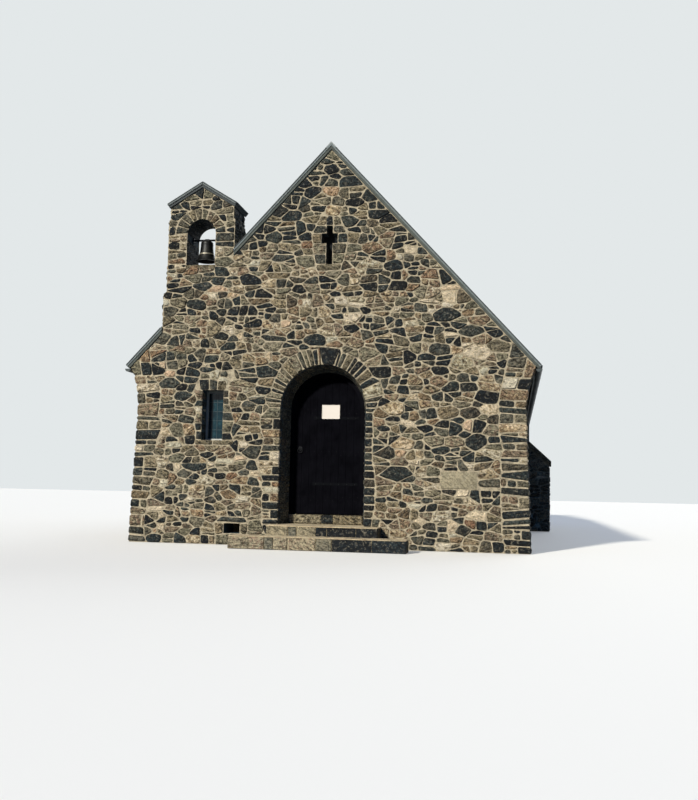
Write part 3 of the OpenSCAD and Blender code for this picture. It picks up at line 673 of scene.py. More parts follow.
def bare_spots(region, found, step=0.033):
    """Places that no stone covers yet, largest first, tried on a grid with this step."""

    def squares(shape):
        for k in (0, 1):
            along = [p[k] for p in shape]
            yield range(int(min(along) // step), int(max(along) // step) + 2)

    covered = set()
    for shape, _ in found:
        columns, rows = squares(shape)
        covered.update((i, j) for i in columns for j in rows if within(shape, i * step, j * step))
    columns, rows = squares(region.loops[0])
    bare = {(i, j) for i in columns for j in rows
            if (i, j) not in covered and region.holds(i * step, j * step)}
    nearby = [(a, b) for a in range(-2, 3) for b in range(-2, 3)]
    spots = []
    while bare:
        count, i, j = max((sum((p[0] + a, p[1] + b) in bare for a, b in nearby), *p) for p in bare)
        if count < 6:
            break
        spots.append((i * step, j * step * BEDDING, 0.05, None))
        bare -= {(i + a, j + b) for a in range(-3, 4) for b in range(-3, 4)}
    return spots


def cells(region, stone, rng, landmarks=()):
    """Parts a region between the stones thrown on it. Gives each stone's polygon and tone."""
    placed, edges = scatter(region, stone, rng, landmarks)
    found = parting(region, placed, edges, stone)
    for _ in range(3):
        spots = bare_spots(region, found)
        if not spots:
            break
        placed += spots
        found = parting(region, placed, edges, stone)
    return found


def parting(region, placed, edges, stone):
    """The polygon round each stone's place, clear of the edges, the cracks and its neighbours."""
    cracks = [stretched(e) for e in region.cracks]
    reach = stone * 3.2
    points = [(u, v, r, None, False) for u, v, r, _ in placed]
    # A mirror image across each nearby edge keeps every stone on its own side of it
    for u, v, r, _ in placed:
        for e in edges:
            fu, fv, d, beside = foot_on(e, u, v)
            if beside and d < reach:
                points.append((2 * fu - u, 2 * fv - v, r, e, side_of(e, u, v)))
    grid = {}
    for p in points:
        grid.setdefault(square(p[0], p[1], reach), []).append(p)
    found = []
    for u, v, r, tone in placed:
        shape = [(u + i * reach, v + j * reach) for i, j in ((-1, -1), (1, -1), (1, 1), (-1, 1))]
        around = sorted(neighbours(grid, u, v, reach), key=lambda p: (p[0] - u) ** 2 + (p[1] - v) ** 2)
        own = u * u + v * v - r * r
        for a, b, c, edge, side in around[:NEIGHBOURS]:
            if edge is not None and side_of(edge, u, v) != side:
                continue
            if edge is None and cracks and any(crosses((u, v), (a, b), k) for k in cracks):
                continue
            if (a, b) == (u, v):
                continue
            shape = clip(shape, 2 * (a - u), 2 * (b - v), a * a + b * b - c * c - own)
            if len(shape) < 3:
                break
        for _ in range(4):
            stray = next((p for p in shape if not region.holds(u + (p[0] - u) * 0.97,
                                                               (v + (p[1] - v) * 0.97) / BEDDING)), None)
            if stray is None:
                break
            fence = min(edges, key=lambda e: foot_on(e, *stray)[2])
            (au, av), (bu, bv) = fence
            nu, nv = bv - av, au - bu
            if nu * (u - au) + nv * (v - av) > 0:
                nu, nv = -nu, -nv
            shape = clip(shape, nu, nv, nu * au + nv * av)
            if len(shape) < 3:
                break
        if len(shape) >= 3:
            found.append(([(a, b / BEDDING) for a, b in shape], tone))
    return found


class Masonry:
    """Stones gathered for one mesh, each closed, with a tone and a grain of its own."""

    def __init__(self, seed, sizes):
        self.rng = random.Random(seed)
        self.points, self.faces, self.tones, self.grains = [], [], [], []
        self.joint, self.relief, self.palest = sizes.joint, sizes.relief, 1.0

    def gather(self, points, faces, tone=None):
        """Adds one stone's points and faces."""
        base = len(self.points)
        # Nothing reaches below z = 0
        self.points += [(x, y, max(0.0, z)) for x, y, z in points]
        self.faces += [[base + i for i in f] for f in faces]
        if tone is None:
            tone = self.rng.uniform(0.0, self.palest)
        else:
            tone = min(1, max(0, tone + self.rng.uniform(-0.04, 0.04)))
        self.tones += [tone] * len(points)
        self.grains += [self.rng.random()] * len(points)

    def rubble(self, shape, place, tone=None):
        """A split stone in a wall face: an irregular outline and a rough, slightly tilted face."""
        rng = self.rng
        drawn = inset(shape, self.joint * 0.48, rng)
        if len(drawn) < 3 or area(drawn) < SMALLEST:
            return
        outline = worn(drawn, rng)
        if len(outline) < 4:
            return
        cu, cv = middle(outline)
        count = len(outline)
        rise = self.relief * rng.uniform(0.45, 1.35)
        lean_u, lean_v = rng.uniform(-0.05, 0.05), rng.uniform(-0.08, 0.08)
        wide, tall = spans(outline)
        bevel = rng.uniform(0.008, 0.02)
        su, sv = 1 - min(0.6, 2 * bevel / wide), 1 - min(0.6, 2 * bevel / tall)

        def face_height(pu, pv, rough):
            height = rise + (pu - cu) * lean_u + (pv - cv) * lean_v + rng.uniform(-rough, rough)
            return max(FACE_HEIGHTS[0], min(height, FACE_HEIGHTS[1]))

        points = [place(u, v, -STONE_BACK) for u, v in outline]
        points += [place(u, v, rise * 0.3 + rng.uniform(-0.002, 0.002)) for u, v in outline]
        for u, v in outline:
            pu, pv = cu + (u - cu) * su, cv + (v - cv) * sv
            points.append(place(pu, pv, face_height(pu, pv, 0.004)))
        points.append(place(cu, cv, face_height(cu, cv, 0.004)))
        faces = [list(range(count - 1, -1, -1))]
        for a in (0, count):
            faces += [[a + i, a + (i + 1) % count, a + count + (i + 1) % count, a + count + i]
                      for i in range(count)]
        faces += [[2 * count + i, 2 * count + (i + 1) % count, 3 * count] for i in range(count)]
        self.gather(points, faces, tone)

    def block(self, corners, tone=None, wear=0.012, dome=0.003, shake=0.003):
        """A roughly squared stone from its eight corners: four below, then four above."""
        rng = self.rng
        shaken = [Vector(c) + Vector([rng.uniform(-shake, shake) for _ in range(3)]) for c in corners]
        centre = sum(shaken, Vector()) / 8
        quads = [(0, 3, 2, 1), (4, 5, 6, 7), (0, 1, 5, 4), (1, 2, 6, 5), (2, 3, 7, 6), (3, 0, 4, 7)]
        inward = (shaken[1] - shaken[0]).cross(shaken[3] - shaken[0]).dot(shaken[4] - shaken[0]) < 0
        points, faces, where = [], [], {}
        for f, side in enumerate(quads):
            ring = []
            mid = sum((shaken[c] for c in side), Vector()) / 4
            for k, c in enumerate(side):
                here, before, after = shaken[c], shaken[side[k - 1]], shaken[side[(k + 1) % 4]]
                one, two = before - here, after - here
                cut = min(wear * rng.uniform(0.7, 1.3), one.length * 0.35, two.length * 0.35)
                where[f, c] = len(points)
                ring.append(len(points))
                points.append(here + one.normalized() * cut + two.normalized() * cut)
            top = len(points)
            points.append(mid + (mid - centre).normalized() * dome * rng.uniform(0.4, 1.5))
            faces += [[ring[k], ring[(k + 1) % 4], top] for k in range(4)]
        owners = {}
        for f, side in enumerate(quads):
            for k in range(4):
                a, b = side[k], side[(k + 1) % 4]
                owners.setdefault(frozenset((a, b)), []).append((f, a, b))
        for (f, a, b), (g, _, _) in owners.values():
            faces.append([where[f, b], where[f, a], where[g, a], where[g, b]])
        for c in range(8):
            three = [where[f, c] for f, side in enumerate(quads) if c in side]
            p, q, r = (points[i] for i in three)
            out = (q - p).cross(r - p).dot(shaken[c] - centre) > 0
            faces.append(three if out != inward else three[::-1])
        if inward:
            faces = [f[::-1] for f in faces]
        self.gather([tuple(p) for p in points], faces, tone)

    def face_block(self, place, corners, out, deep, tone=None, wear=0.012, shake=0.003):
        """A squared stone in a wall face, from four (u, v) corners that run anticlockwise."""
        self.block([*(place(u, v, -deep) for u, v in corners), *(place(u, v, out) for u, v in corners)],
                   tone, wear, shake=shake)

    def fill(self, region, place, stone, landmarks=(), darker_above=None):
        """Fills a region of a wall face with rubble.

        Above the height that the last argument gives, only the landmarks are pale; the rest of the rubble
        there is darker.
        """
        palest = self.palest
        for shape, tone in cells(region, stone, self.rng, landmarks):
            if tone is not None:
                self.rubble(shape, place, tone)
                continue
            if darker_above is not None:
                self.palest = DARKER_TOP_PALEST if middle(shape)[1] > darker_above else palest
            self.broken(shape, place, stone)
        self.palest = palest

    def broken(self, shape, place, stone):
        """Rubble over a convex polygon."""
        for piece in parted(shape, stone * stone, self.rng):
            self.rubble(piece, place)

    def make(self, name, material, slot="rubble"):
        """Makes the gathered stones one object that rides on the building."""
        mesh = bpy.data.meshes.new(name)
        mesh.from_pydata([tuple(p) for p in self.points], [], self.faces)
        for label, values in (("tone", self.tones), ("grain", self.grains)):
            mesh.attributes.new(label, "FLOAT", "POINT").data.foreach_set("value", values)
        mesh.materials.append(material)
        mesh.update()
        piece = bpy.data.objects.new(name, mesh)
        bpy.context.scene.collection.objects.link(piece)
        smooth(piece, 36)
        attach(piece, "root")


def alone(piece):
    """Leaves one object selected and active."""
    bpy.ops.object.select_all(action="DESELECT")
    piece.select_set(True)
    bpy.context.view_layer.objects.active = piece


def smooth(piece, degrees):
    """Shades a piece smooth, with edges sharper than an angle kept."""
    alone(piece)
    bpy.ops.object.shade_smooth_by_angle(angle=math.radians(degrees))


# Shape of the building


def side_x(z):
    """Half width of the gable walls at a height: the batter, then the swept-out kneeler."""
    if z <= KNEELER_Z:
        return HALF_W + BATTER * (1 - z / KNEELER_Z)
    return HALF_W + KNEELER_OUT * min(1, (z - KNEELER_Z) / KNEELER_H) ** 2


def roof_under(x):
    """Height of the boarding's underside over the gable walls."""
    return GABLE_TOP - abs(x) * SLOPE


def cote_under(x):
    """Height of the underside of the bell-cote's roof."""
    return COTE_HEAD_TOP - abs(x - COTE_X) * math.tan(COTE_PITCH)


def front_place(u, v, w):
    """A point of the front: u to the right, v up, w outwards."""
    return (u, -w, v)


def rear_place(u, v, w):
    """A point of the rear, seen from behind."""
    return (-u, LENGTH + w, v)


def side_profile(y, z):
    """Distance of a side face from the middle: only the gable walls have kneelers."""
    in_gable = y < WALL or y > LENGTH - WALL
    return side_x(z) if in_gable or z < KNEELER_Z else HALF_W


def right_place(u, v, w):
    """A point of the right side, seen from outside."""
    return (side_profile(u, v) + w, u, v)


def left_place(u, v, w):
    """A point of the left side, seen from outside."""
    return (-side_profile(-u, v) - w, -u, v)


def box_corners(x0, y0, z0, x1, y1, z1):
    """The corners of an upright box: four below, then four above."""
    return [(x, y, z) for z in (z0, z1) for x, y in ((x0, y0), (x1, y0), (x1, y1), (x0, y1))]


def courses(bottom, top, height, rng, spread=(0.6, 1.45)):
    """Bed joints from a foot to a top, for stones of about one height."""
    beds = [bottom]
    while top - beds[-1] > 1.5 * height:
        beds.append(beds[-1] + height * rng.uniform(*spread))
    beds.append(top)
    return beds


def wander(count, least, most, step, rng):
    """Distances that wander between two limits, by at most a step at a time."""
    found = [rng.uniform(least, most)]
    for _ in range(count - 1):
        found.append(min(most, max(least, found[-1] + rng.uniform(-step, step))))
    return found


def anticlockwise(shape):
    """A polygon turned to run anticlockwise."""
    return shape if area(shape) > 0 else shape[::-1]


class Corner:
    """The stones at a corner of the building: their beds, and how far each reaches on both faces."""

    def __init__(self, rng, height):
        self.beds = courses(0.0, KNEELER_TOP, height, rng)
        self.slopes = [0.0] + [rng.uniform(-0.11, 0.11) for _ in self.beds[2:]] + [0.0]
        # Where the corner stones and their fillers end and the rubble starts
        self.gable_edge = wander(len(self.beds), 0.24, 0.42, 0.07, rng)
        self.side_edge = wander(len(self.beds), 0.24, 0.42, 0.07, rng)
        self.gable_short, self.side_short = [], []
        wide = rng.random() < 0.5
        for _ in self.beds[1:]:
            self.gable_short.append(None if wide else rng.uniform(0.12, 0.2))
            self.side_short.append(rng.uniform(0.12, 0.2) if wide else None)
            wide = not wide if rng.random() < 0.8 else wide
        self.gable_short[-1] = 0.13

    def bed(self, k, reach):
        """Height of a bed joint on the gable's face, at a distance from the corner."""
        if k == len(self.beds) - 1:
            return roof_under(KNEELER_X - reach) - 0.004
        return self.beds[k] + self.slopes[k] * reach

    def side_bed(self, k, reach):
        """Height of a bed joint on the side's face, at a distance from the corner."""
        if k == len(self.beds) - 1:
            return KNEELER_TOP - 0.01
        return self.beds[k] + self.slopes[k] * reach

    def border(self, at, edges, bed):
        """The uneven line where the rubble starts, upwards, through a function of reach and height."""
        return [at(edges[k], bed(k, edges[k])) for k in range(len(self.beds))]


def corner_stones(stones, corner, side, y_face, inward, gable_at, gable_place, side_at, side_place):
    """The stones of one corner and the rubble beside them.

    side is 1 on the right, inward the way into the building along y. The two pairs give a place on
    each face from a distance to the corner and a height.
    """
    out, gap = stones.relief * 0.9, stones.joint / 2
    for i in range(len(corner.beds) - 1):
        ends = []
        for short, edges, bed, at, place in (
                (corner.gable_short[i], corner.gable_edge, corner.bed, gable_at, gable_place),
                (corner.side_short[i], corner.side_edge, corner.side_bed, side_at, side_place)):
            if short is None:
                ends.append((edges[i], edges[i + 1]))
                continue
            ends.append((short, short))
            shape = [at(short, bed(i, short)), at(edges[i], bed(i, edges[i])),
                     at(edges[i + 1], bed(i + 1, edges[i + 1])), at(short, bed(i + 1, short))]
            stones.broken(anticlockwise(shape), place, 0.14)
        ring = []
        for k, shift in ((i, gap), (i + 1, -gap)):
            reach_g, reach_s = (end[k - i] - gap for end in ends)
            here, gable_end = corner.bed(k, 0.0) + shift, corner.bed(k, reach_g) + shift
            side_end = corner.side_bed(k, reach_s) + shift
            x_out, x_in = side * (side_x(here) + out), side * (side_x(gable_end) - reach_g)
            y_out, y_in = y_face - inward * out, y_face + inward * reach_s
            ring += [(x_in, y_out, gable_end), (x_out, y_out, here), (x_out, y_in, side_end),
                     (x_in, y_in, min(gable_end, roof_under(x_in) - 0.01))]
        stones.block(ring, None, wear=0.018, dome=0.009, shake=0.006)


def window_stones(stones, place, u, cuts):
    """The stones round a window: a flat arch, jambs and a sill. Gives the hole for the rubble."""
    rng, gap = stones.rng, stones.joint / 2
    half, (sill, head) = WINDOW_W / 2, WINDOW_Z
    deep, out = WINDOW_SET, stones.relief * 0.8
    # The flat arch: stones that lean away from the middle
    lean, spread = 0.16, half + 0.035
    across = [u - spread + 2 * spread * s for s in cuts]
    tops = [head + rng.uniform(0.15, 0.2) for _ in cuts]
    arch = [(x + (x - u) * lean, top) for x, top in zip(across, tops)]
    for k in range(len(cuts) - 1):
        (au, av), (bu, bv) = arch[k], arch[k + 1]
        stones.face_block(place, [(across[k] + gap, head + 0.004), (across[k + 1] - gap, head + 0.004),
                                  (bu - gap, bv - gap), (au + gap, av - gap)],
                          out, deep * 0.9, rng.choice((0.12, 0.2, 0.3, 0.45)))
    borders = {}
    for side in (-1, 1):
        beds = courses(sill, head, 0.14, rng)
        edge = wander(len(beds), 0.09, 0.2, 0.06, rng)
        borders[side] = [(u + side * (half + e), z) for e, z in zip(edge, beds)]
        for i in range(len(beds) - 1):
            ring = [(u + side * half, beds[i] + gap), (borders[side][i][0] - side * gap, beds[i] + gap),
                    (borders[side][i + 1][0] - side * gap, beds[i + 1] - gap),
                    (u + side * half, beds[i + 1] - gap)]
            stones.face_block(place, anticlockwise(ring), out, deep * 0.92, shake=0.005)
    # Two thin stones make the sill
    split = u + rng.uniform(-0.05, 0.05)
    left, right = borders[-1][0][0], borders[1][0][0]
    foot, top = sill - 0.068, sill - 0.004
    for a, b in ((left, split - gap), (split + gap, right)):
        stones.face_block(place, [(a, foot), (b, foot), (b, top), (a, top)], out + 0.004, deep * 0.9,
                          rng.choice((0.42, 0.5, 0.8)))
    hole = [(left, sill - 0.078), (right, sill - 0.078), *borders[1], *arch[::-1], *borders[-1][::-1]]
    return hole[::-1]


# Stones that stand out on the front, placed by the photograph: x, z, size and tone
FRONT_STONES = [
    # Right of the doorway
    (1.9, 3.7, 0.3, 0.14), (2.4, 3.6, 0.22, 0.76), (2.3, 3.45, 0.25, 0.27), (2.7, 3.4, 0.16, 0.12),
    (2.7, 3.2, 0.26, 0.5), (2.4, 3.1, 0.3, 0.95), (2.15, 2.93, 0.28, 0.86), (1.8, 3.15, 0.25, 0.3),
    (2.9, 3.0, 0.2, 0.15), (1.85, 2.8, 0.18, 0.04), (2.55, 2.4, 0.28, 0.01), (2.25, 2.55, 0.2, 0.16),
    (2.0, 2.55, 0.2, 0.17), (2.9, 2.6, 0.26, 0.9), (2.55, 2.2, 0.18, 0.97), (2.8, 2.1, 0.2, 0.2),
    (2.3, 2.15, 0.24, 0.28), (1.95, 2.15, 0.24, 0.55), (1.6, 1.9, 0.18, 0.04), (2.4, 1.7, 0.26, 0.18),
    (2.65, 1.7, 0.17, 0.76), (2.05, 1.7, 0.22, 0.7), (1.75, 1.7, 0.22, 0.64), (1.85, 1.55, 0.17, 0.2),
    (2.7, 1.5, 0.18, 0.1), (1.1, 2.2, 0.25, 0.92), (0.85, 2.0, 0.16, 0.78), (1.25, 1.65, 0.24, 0.92),
    (1.2, 1.2, 0.27, 0.2), (1.0, 1.5, 0.2, 0.24), (1.15, 1.35, 0.22, 0.14),
    # Round the ring and left of it
    (0.9, 2.8, 0.24, 0.1), (0.45, 3.25, 0.2, 0.85), (0.65, 3.1, 0.22, 0.7), (0.85, 3.12, 0.2, 0.12),
    (-0.2, 3.3, 0.26, 0.16), (-0.9, 3.2, 0.24, 0.6), (-1.0, 2.8, 0.24, 0.22), (-1.2, 2.8, 0.17, 0.33),
    (-1.15, 1.5, 0.26, 0.25), (-2.62, 2.6, 0.25, 0.3),
    # The gable and the bell-cote
    (0.0, 5.75, 0.17, 0.92), (0.05, 5.45, 0.17, 0.9), (0.3, 5.9, 0.24, 0.16), (0.0, 6.12, 0.2, 0.06),
    (-0.3, 5.75, 0.2, 0.12), (-0.62, 5.35, 0.22, 0.16), (-0.25, 5.2, 0.2, 0.1), (0.4, 5.55, 0.2, 0.05),
    (0.35, 5.25, 0.2, 0.3), (0.75, 5.35, 0.2, 0.14), (-0.95, 5.0, 0.2, 0.27), (-0.4, 4.6, 0.24, 0.58),
    (0.7, 4.8, 0.24, 0.72), (-1.3, 4.3, 0.24, 0.12), (-2.2, 3.9, 0.24, 0.2), (1.05, 4.5, 0.25, 0.12),
]
# The plain dressed slab low on the right of the front: x and z of its corners
PLAIN_SLAB = (1.85, 0.97, 2.405, 1.23)
# The front's rubble above this height is no paler than this tone, so the top of the front is darker
DARKER_ABOVE = 5.0
DARKER_TOP_PALEST = 0.6


def right_front(reach, z):
    """A place on the front at a distance from its right corner."""
    return (side_x(z) - reach, z)


def left_front(reach, z):
    """A place on the front at a distance from its left corner."""
    return (reach - side_x(z), z)


def build_front(sizes, stone):
    """The front wall and the bell-cote's face."""
    stones = Masonry(11, sizes)
    rng = stones.rng
    left, right = Corner(rng, sizes.corner), Corner(rng, sizes.corner)
    corner_stones(stones, left, -1, 0.0, 1, left_front, front_place, lambda r, z: (-r, z), left_place)
    corner_stones(stones, right, 1, 0.0, 1, right_front, front_place, lambda r, z: (r, z), right_place)
    head = COTE_HALF - COTE_STEP
    outline = right.border(right_front, right.gable_edge, right.bed)
    outline += [(0.0, GABLE_TOP), (COTE_R, roof_under(COTE_R)),
                (COTE_R, COTE_STEP_Z), (COTE_X + head, COTE_STEP_Z + COTE_STEP),
                (COTE_X + head, cote_under(COTE_X + head)), (COTE_X, COTE_HEAD_TOP),
                (COTE_X - head, cote_under(COTE_X - head)), (COTE_X - head, COTE_STEP_Z + COTE_STEP),
                (COTE_L, COTE_STEP_Z), (COTE_L, COTE_OFFSET_Z + COTE_OFFSET),
                (COTE_L - COTE_OFFSET, COTE_OFFSET_Z),
                (COTE_L - COTE_OFFSET, roof_under(COTE_L - COTE_OFFSET))]
    outline += left.border(left_front, left.gable_edge, left.bed)[::-1]
    bed = 0.01
    x0, z0, x1, z1 = PLAIN_SLAB
    slab = [(x0 - bed, z0 - bed), (x0 - bed, z1 + bed), (x1 + bed, z1 + bed), (x1 + bed, z0 - bed)]
    holes = [window_stones(stones, front_place, -WINDOW_X, (0.0, 0.36, 0.66, 1.0)),
             doorway_stones(stones), slit_stones(stones), bell_hole(stones), vent_stones(stones), slab]
    stones.fill(Region(outline, holes), front_place, sizes.stone, FRONT_STONES, DARKER_ABOVE)
    stones.make("front_rubble", stone)
    return left, right


def slit_stones(stones):
    """The stones round the cross-shaped slit. Gives the hole for the rubble."""
    foot, top = low("cross_glass").z, high("cross_glass").z
    arm, t = high("cross_glass").x, SLIT_T / 2
    a = foot + (top - foot) * SLIT_ARM_LOW
    b = a + (top - foot) * SLIT_ARM_H
    mid = foot + 0.17
    border = [(-0.2, foot - 0.11), (0.19, foot - 0.1), (0.22, foot), (0.27, mid), (0.3, a), (0.29, b),
              (0.22, top), (0.16, top + 0.15), (-0.15, top + 0.16), (-0.23, top), (-0.3, b), (-0.28, a),
              (-0.26, mid), (-0.222, foot)]
    shapes = [([border[0], border[1], border[2], border[13]], 0.55),
              ([(t, foot), border[2], border[3], (t, mid)], 0.62),
              ([(t, mid), border[3], border[4], (t, a)], 0.35),
              ([(arm, a), border[4], border[5], (arm, b)], 0.2),
              ([(t, b), border[5], border[6], (t, top)], 0.4),
              ([(t + 0.01, top), border[6], border[7], (0.05, top + 0.155)], 0.5),
              ([(-t - 0.01, top), (t + 0.01, top), (0.05, top + 0.155), (-0.045, top + 0.155)], 0.1),
              ([border[9], (-t - 0.01, top), (-0.045, top + 0.155), border[8]], 0.66),
              ([border[10], (-t, b), (-t, top), border[9]], 0.3),
              ([border[11], (-arm, a), (-arm, b), border[10]], 0.58),
              ([border[12], (-t, mid), (-t, a), border[11]], 0.7),
              ([border[13], (-t, foot), (-t, mid), border[12]], 0.3)]
    for shape, tone in shapes:
        stones.rubble(shape, front_place, tone)
    # Near-black stones line the slit's left side: painted shade deep in the slit
    for z0, z1, x in ((foot, a, -t), (a, b, -arm), (b, top, -t)):
        stones.block(box_corners(x - 0.01, 0.006, z0 + 0.003, x + 0.008, 0.24, z1 - 0.003), 0.03,
                     wear=0.003, dome=0.001, shake=0.001)
    return border[::-1]


def vent_stones(stones):
    """The stones round the air hole. Gives the hole for the rubble."""
    x0, z0, x1, z1 = VENT
    border = [(x0 - 0.13, -0.01), (x1 + 0.16, -0.01), (x1 + 0.12, z0 - 0.02), (x1 + 0.14, z1 + 0.01),
              (x1 + 0.08, z1 + 0.1), (x0 - 0.05, z1 + 0.11), (x0 - 0.15, z1 + 0.02), (x0 - 0.13, z0 - 0.03)]
    mid = (x0 + x1) / 2 - 0.03
    for shape, tone in (([border[0], (mid, 0.0), (mid, z0 - 0.004), border[7]], 0.55),
                        ([(mid, 0.0), border[1], border[2], (mid, z0 - 0.004)], 0.4),
                        ([(x1, z0), border[2], border[3], (x1, z1)], 0.5),
                        ([border[7], (x0, z0), (x0, z1), border[6]], 0.6),
                        ([border[6], border[3], border[4], border[5]], 0.25)):
        stones.rubble(shape, front_place, tone)
    return border[::-1]


# How far the stones inside the doorway and the bell opening stand proud of the solids
REVEAL_OUT = 0.007


def wedge(stones, middle_at, angles, inner, outers, depths, tone, flare=0.0, tight=None):
    """A stone of an arch round middle_at, between two angles, from one depth back to another.

    outers are the outer radii at its two sides, and flare widens its outer end by that angle there.
    tight is the gap on each side of a stone under the arch, which is set close and worn little.
    """
    (x, z), (a, b), (y0, y1) = middle_at, angles, depths
    gap, share = (tight, 0.3) if tight else (stones.joint * 0.42, 1.0)
    corners = []
    for y in (y0, y1):
        near = inner - SPLAY * max(0.0, y) if x == DOOR_X else inner
        near -= REVEAL_OUT if tight else 0.0
        for r, t in ((near, a + gap / near), (near, b - gap / near),
                     (outers[1], b - gap / outers[1] + flare), (outers[0], a + gap / outers[0] - flare)):
            corners.append((x + r * math.cos(t), y, z + r * math.sin(t)))
    stones.block(corners, tone, wear=0.016 * share, dome=0.008 * share, shake=0.006 * share)


# The keystone's sides open by this angle from its foot to its head
KEY_FLARE = 0.045
# The ring over the door, from the right springing round to the left: share of the half circle,
# length and tone. The widest is the keystone
RING = [(6, 0.16, 0.12), (5, 0.21, 0.3), (11, 0.37, 0.94), (7, 0.24, 0.2), (8, 0.23, 0.48), (5, 0.26, 0.1),
        (6, 0.25, 0.02), (4, 0.22, 0.06), (7, 0.28, 0.5), (5, 0.2, 0.36), (4, 0.24, 0.08), (14, 0.28, 0.09),
        (4, 0.26, 0.72), (5, 0.24, 0.12), (5, 0.25, 0.4), (4, 0.3, 0.62), (5, 0.28, 0.34), (8, 0.26, 0.7),
        (8, 0.3, 0.6), (5, 0.2, 0.5), (6, 0.26, 0.66), (4, 0.17, 0.25), (5, 0.24, 0.55), (4, 0.15, 0.1),
        (6, 0.22, 0.6), (4, 0.3, 0.3), (5, 0.18, 0.68)]


def doorway_stones(stones):
    """The ring of radial stones, the splayed reveal behind it and the jambs. Gives their hole."""
    rng, gap, out = stones.rng, stones.joint / 2, stones.relief
    arch = (DOOR_X, SPRING)
    whole = sum(step for step, _, _ in RING)
    reach = [RING[0][1]] + [(p[1] + q[1]) / 2 for p, q in zip(RING, RING[1:])] + [RING[-1][1]]
    key = RING.index(max(RING))
    reach[key] = reach[key + 1] = RING[key][1]
    angle, ring = 0.0, []
    for i, (step, _, tone) in enumerate(RING):
        a, b = angle, angle + math.pi * step / whole
        angle = b
        outers = (DOOR_R + reach[i], DOOR_R + reach[i + 1])
        # The keystone widens upwards, so its neighbours lean away from it
        angles = (a + KEY_FLARE / 2 * (i == key + 1), b - KEY_FLARE / 2 * (i == key - 1))
        wedge(stones, arch, angles, DOOR_R, outers, (-out, 0.07), tone, KEY_FLARE * (i == key))
        if i == 0:
            ring.append((DOOR_X + outers[0] + gap, SPRING))
        ring.append((DOOR_X + (outers[1] + gap) * math.cos(b), SPRING + (outers[1] + gap) * math.sin(b)))
    # Two rows of stones under the arch, behind the ring, all of darker tones: painted shade under the arch
    for y0, y1, count in ((0.075, 0.252, 17), (0.256, REVEAL - 0.006, 14)):
        outer = DOOR_R - SPLAY * y0 + 0.1
        for i in range(count):
            wedge(stones, arch, (math.pi * i / count, math.pi * (i + 1) / count), DOOR_R, (outer, outer),
                  (y0, y1), rng.uniform(0.2, 0.42), tight=0.004)
    # Jambs: small stones that turn from the face into the reveal, with rubble beside the left one
    borders = {}
    for side in (-1, 1):
        beds = courses(STEP_TOP, SPRING, 0.115 if side > 0 else 0.135, rng, (0.6, 1.3))
        if side > 0:
            edge = wander(len(beds), 0.11, 0.17, 0.03, rng)
            edge[-1] = reach[0]
        else:
            edge = wander(len(beds), 0.24, 0.36, 0.06, rng)
            edge[-1] = reach[-1]
        borders[side] = [(DOOR_X + side * (DOOR_R + e + (gap if k + 1 == len(beds) else 0.0)), z)
                         for k, (e, z) in enumerate(zip(edge, beds))]
        for i in range(len(beds) - 1):
            ends = (edge[i], edge[i + 1])
            if side < 0 and i % 2 and i + 2 < len(beds):
                short = rng.uniform(0.08, 0.16)
                ends = (short, short)
                x = DOOR_X - DOOR_R - short
                shape = [borders[-1][i], (x, beds[i]), (x, beds[i + 1]), borders[-1][i + 1]]
                stones.broken(anticlockwise(shape), front_place, 0.13)
            deep = rng.uniform(0.05, 0.11)
            tone = rng.uniform(0.0, 0.42) if side > 0 else None
            split = rng.uniform(0.22, 0.3)
            for y0, y1, own in ((-out, deep - 0.002, ends), (deep + 0.002, split - 0.002, (0.05, 0.05)),
                                (split + 0.002, REVEAL - 0.006, (0.05, 0.05))):
                # Inside the left jamb, which shows, the stones are set close, worn little and of darker
                # tones: painted shade in the reveal
                shown = y0 > 0 and side < 0
                bed, share = (0.002, 0.35) if shown else (gap, 1.0)
                own_tone = rng.uniform(0.22, 0.44) if shown else tone
                corners = []
                for k, z in ((0, beds[i] + bed), (1, beds[i + 1] - bed)):
                    near = [DOOR_X + side * (DOOR_R - SPLAY * max(0.0, y) - (0.003 if y0 < 0 else REVEAL_OUT))
                            for y in (y0, y1)]
                    outer = DOOR_X + side * (DOOR_R + own[k] - (gap if y0 < 0 else 0.0))
                    corners += [(near[0], y0, z), (outer, y0, z), (outer, y1, z), (near[1], y1, z)]
                stones.block(corners, own_tone, wear=0.014 * share, dome=0.007 * share, shake=0.004 * share)
    # Stones beside the upper step, under the jambs
    around = []
    for side, foot in ((1, high("step_upper").x), (-1, low("step_upper").x)):
        jamb = side * max(side * foot + 0.14, side * borders[side][0][0])
        outer = [(foot + side * 0.16, -0.01), (foot + side * 0.13, 0.17), (jamb, STEP_TOP)]
        for (p, q), tone in zip(zip(outer, outer[1:]), (0.6, 0.12 if side < 0 else 0.66)):
            shape = [(foot, p[1]), p, q, (foot, q[1])]
            stones.rubble(anticlockwise(shape), front_place, tone)
        above = borders[side][1]
        top = (above[0] + side * 0.1, above[1])
        if side > 0:
            stones.broken(anticlockwise([borders[1][0], outer[2], top, above]), front_place, 0.13)
            around += [*outer, top, *borders[1][1:], *ring, *borders[-1][::-1]]
        else:
            around += outer[::-1]
    return around[::-1]


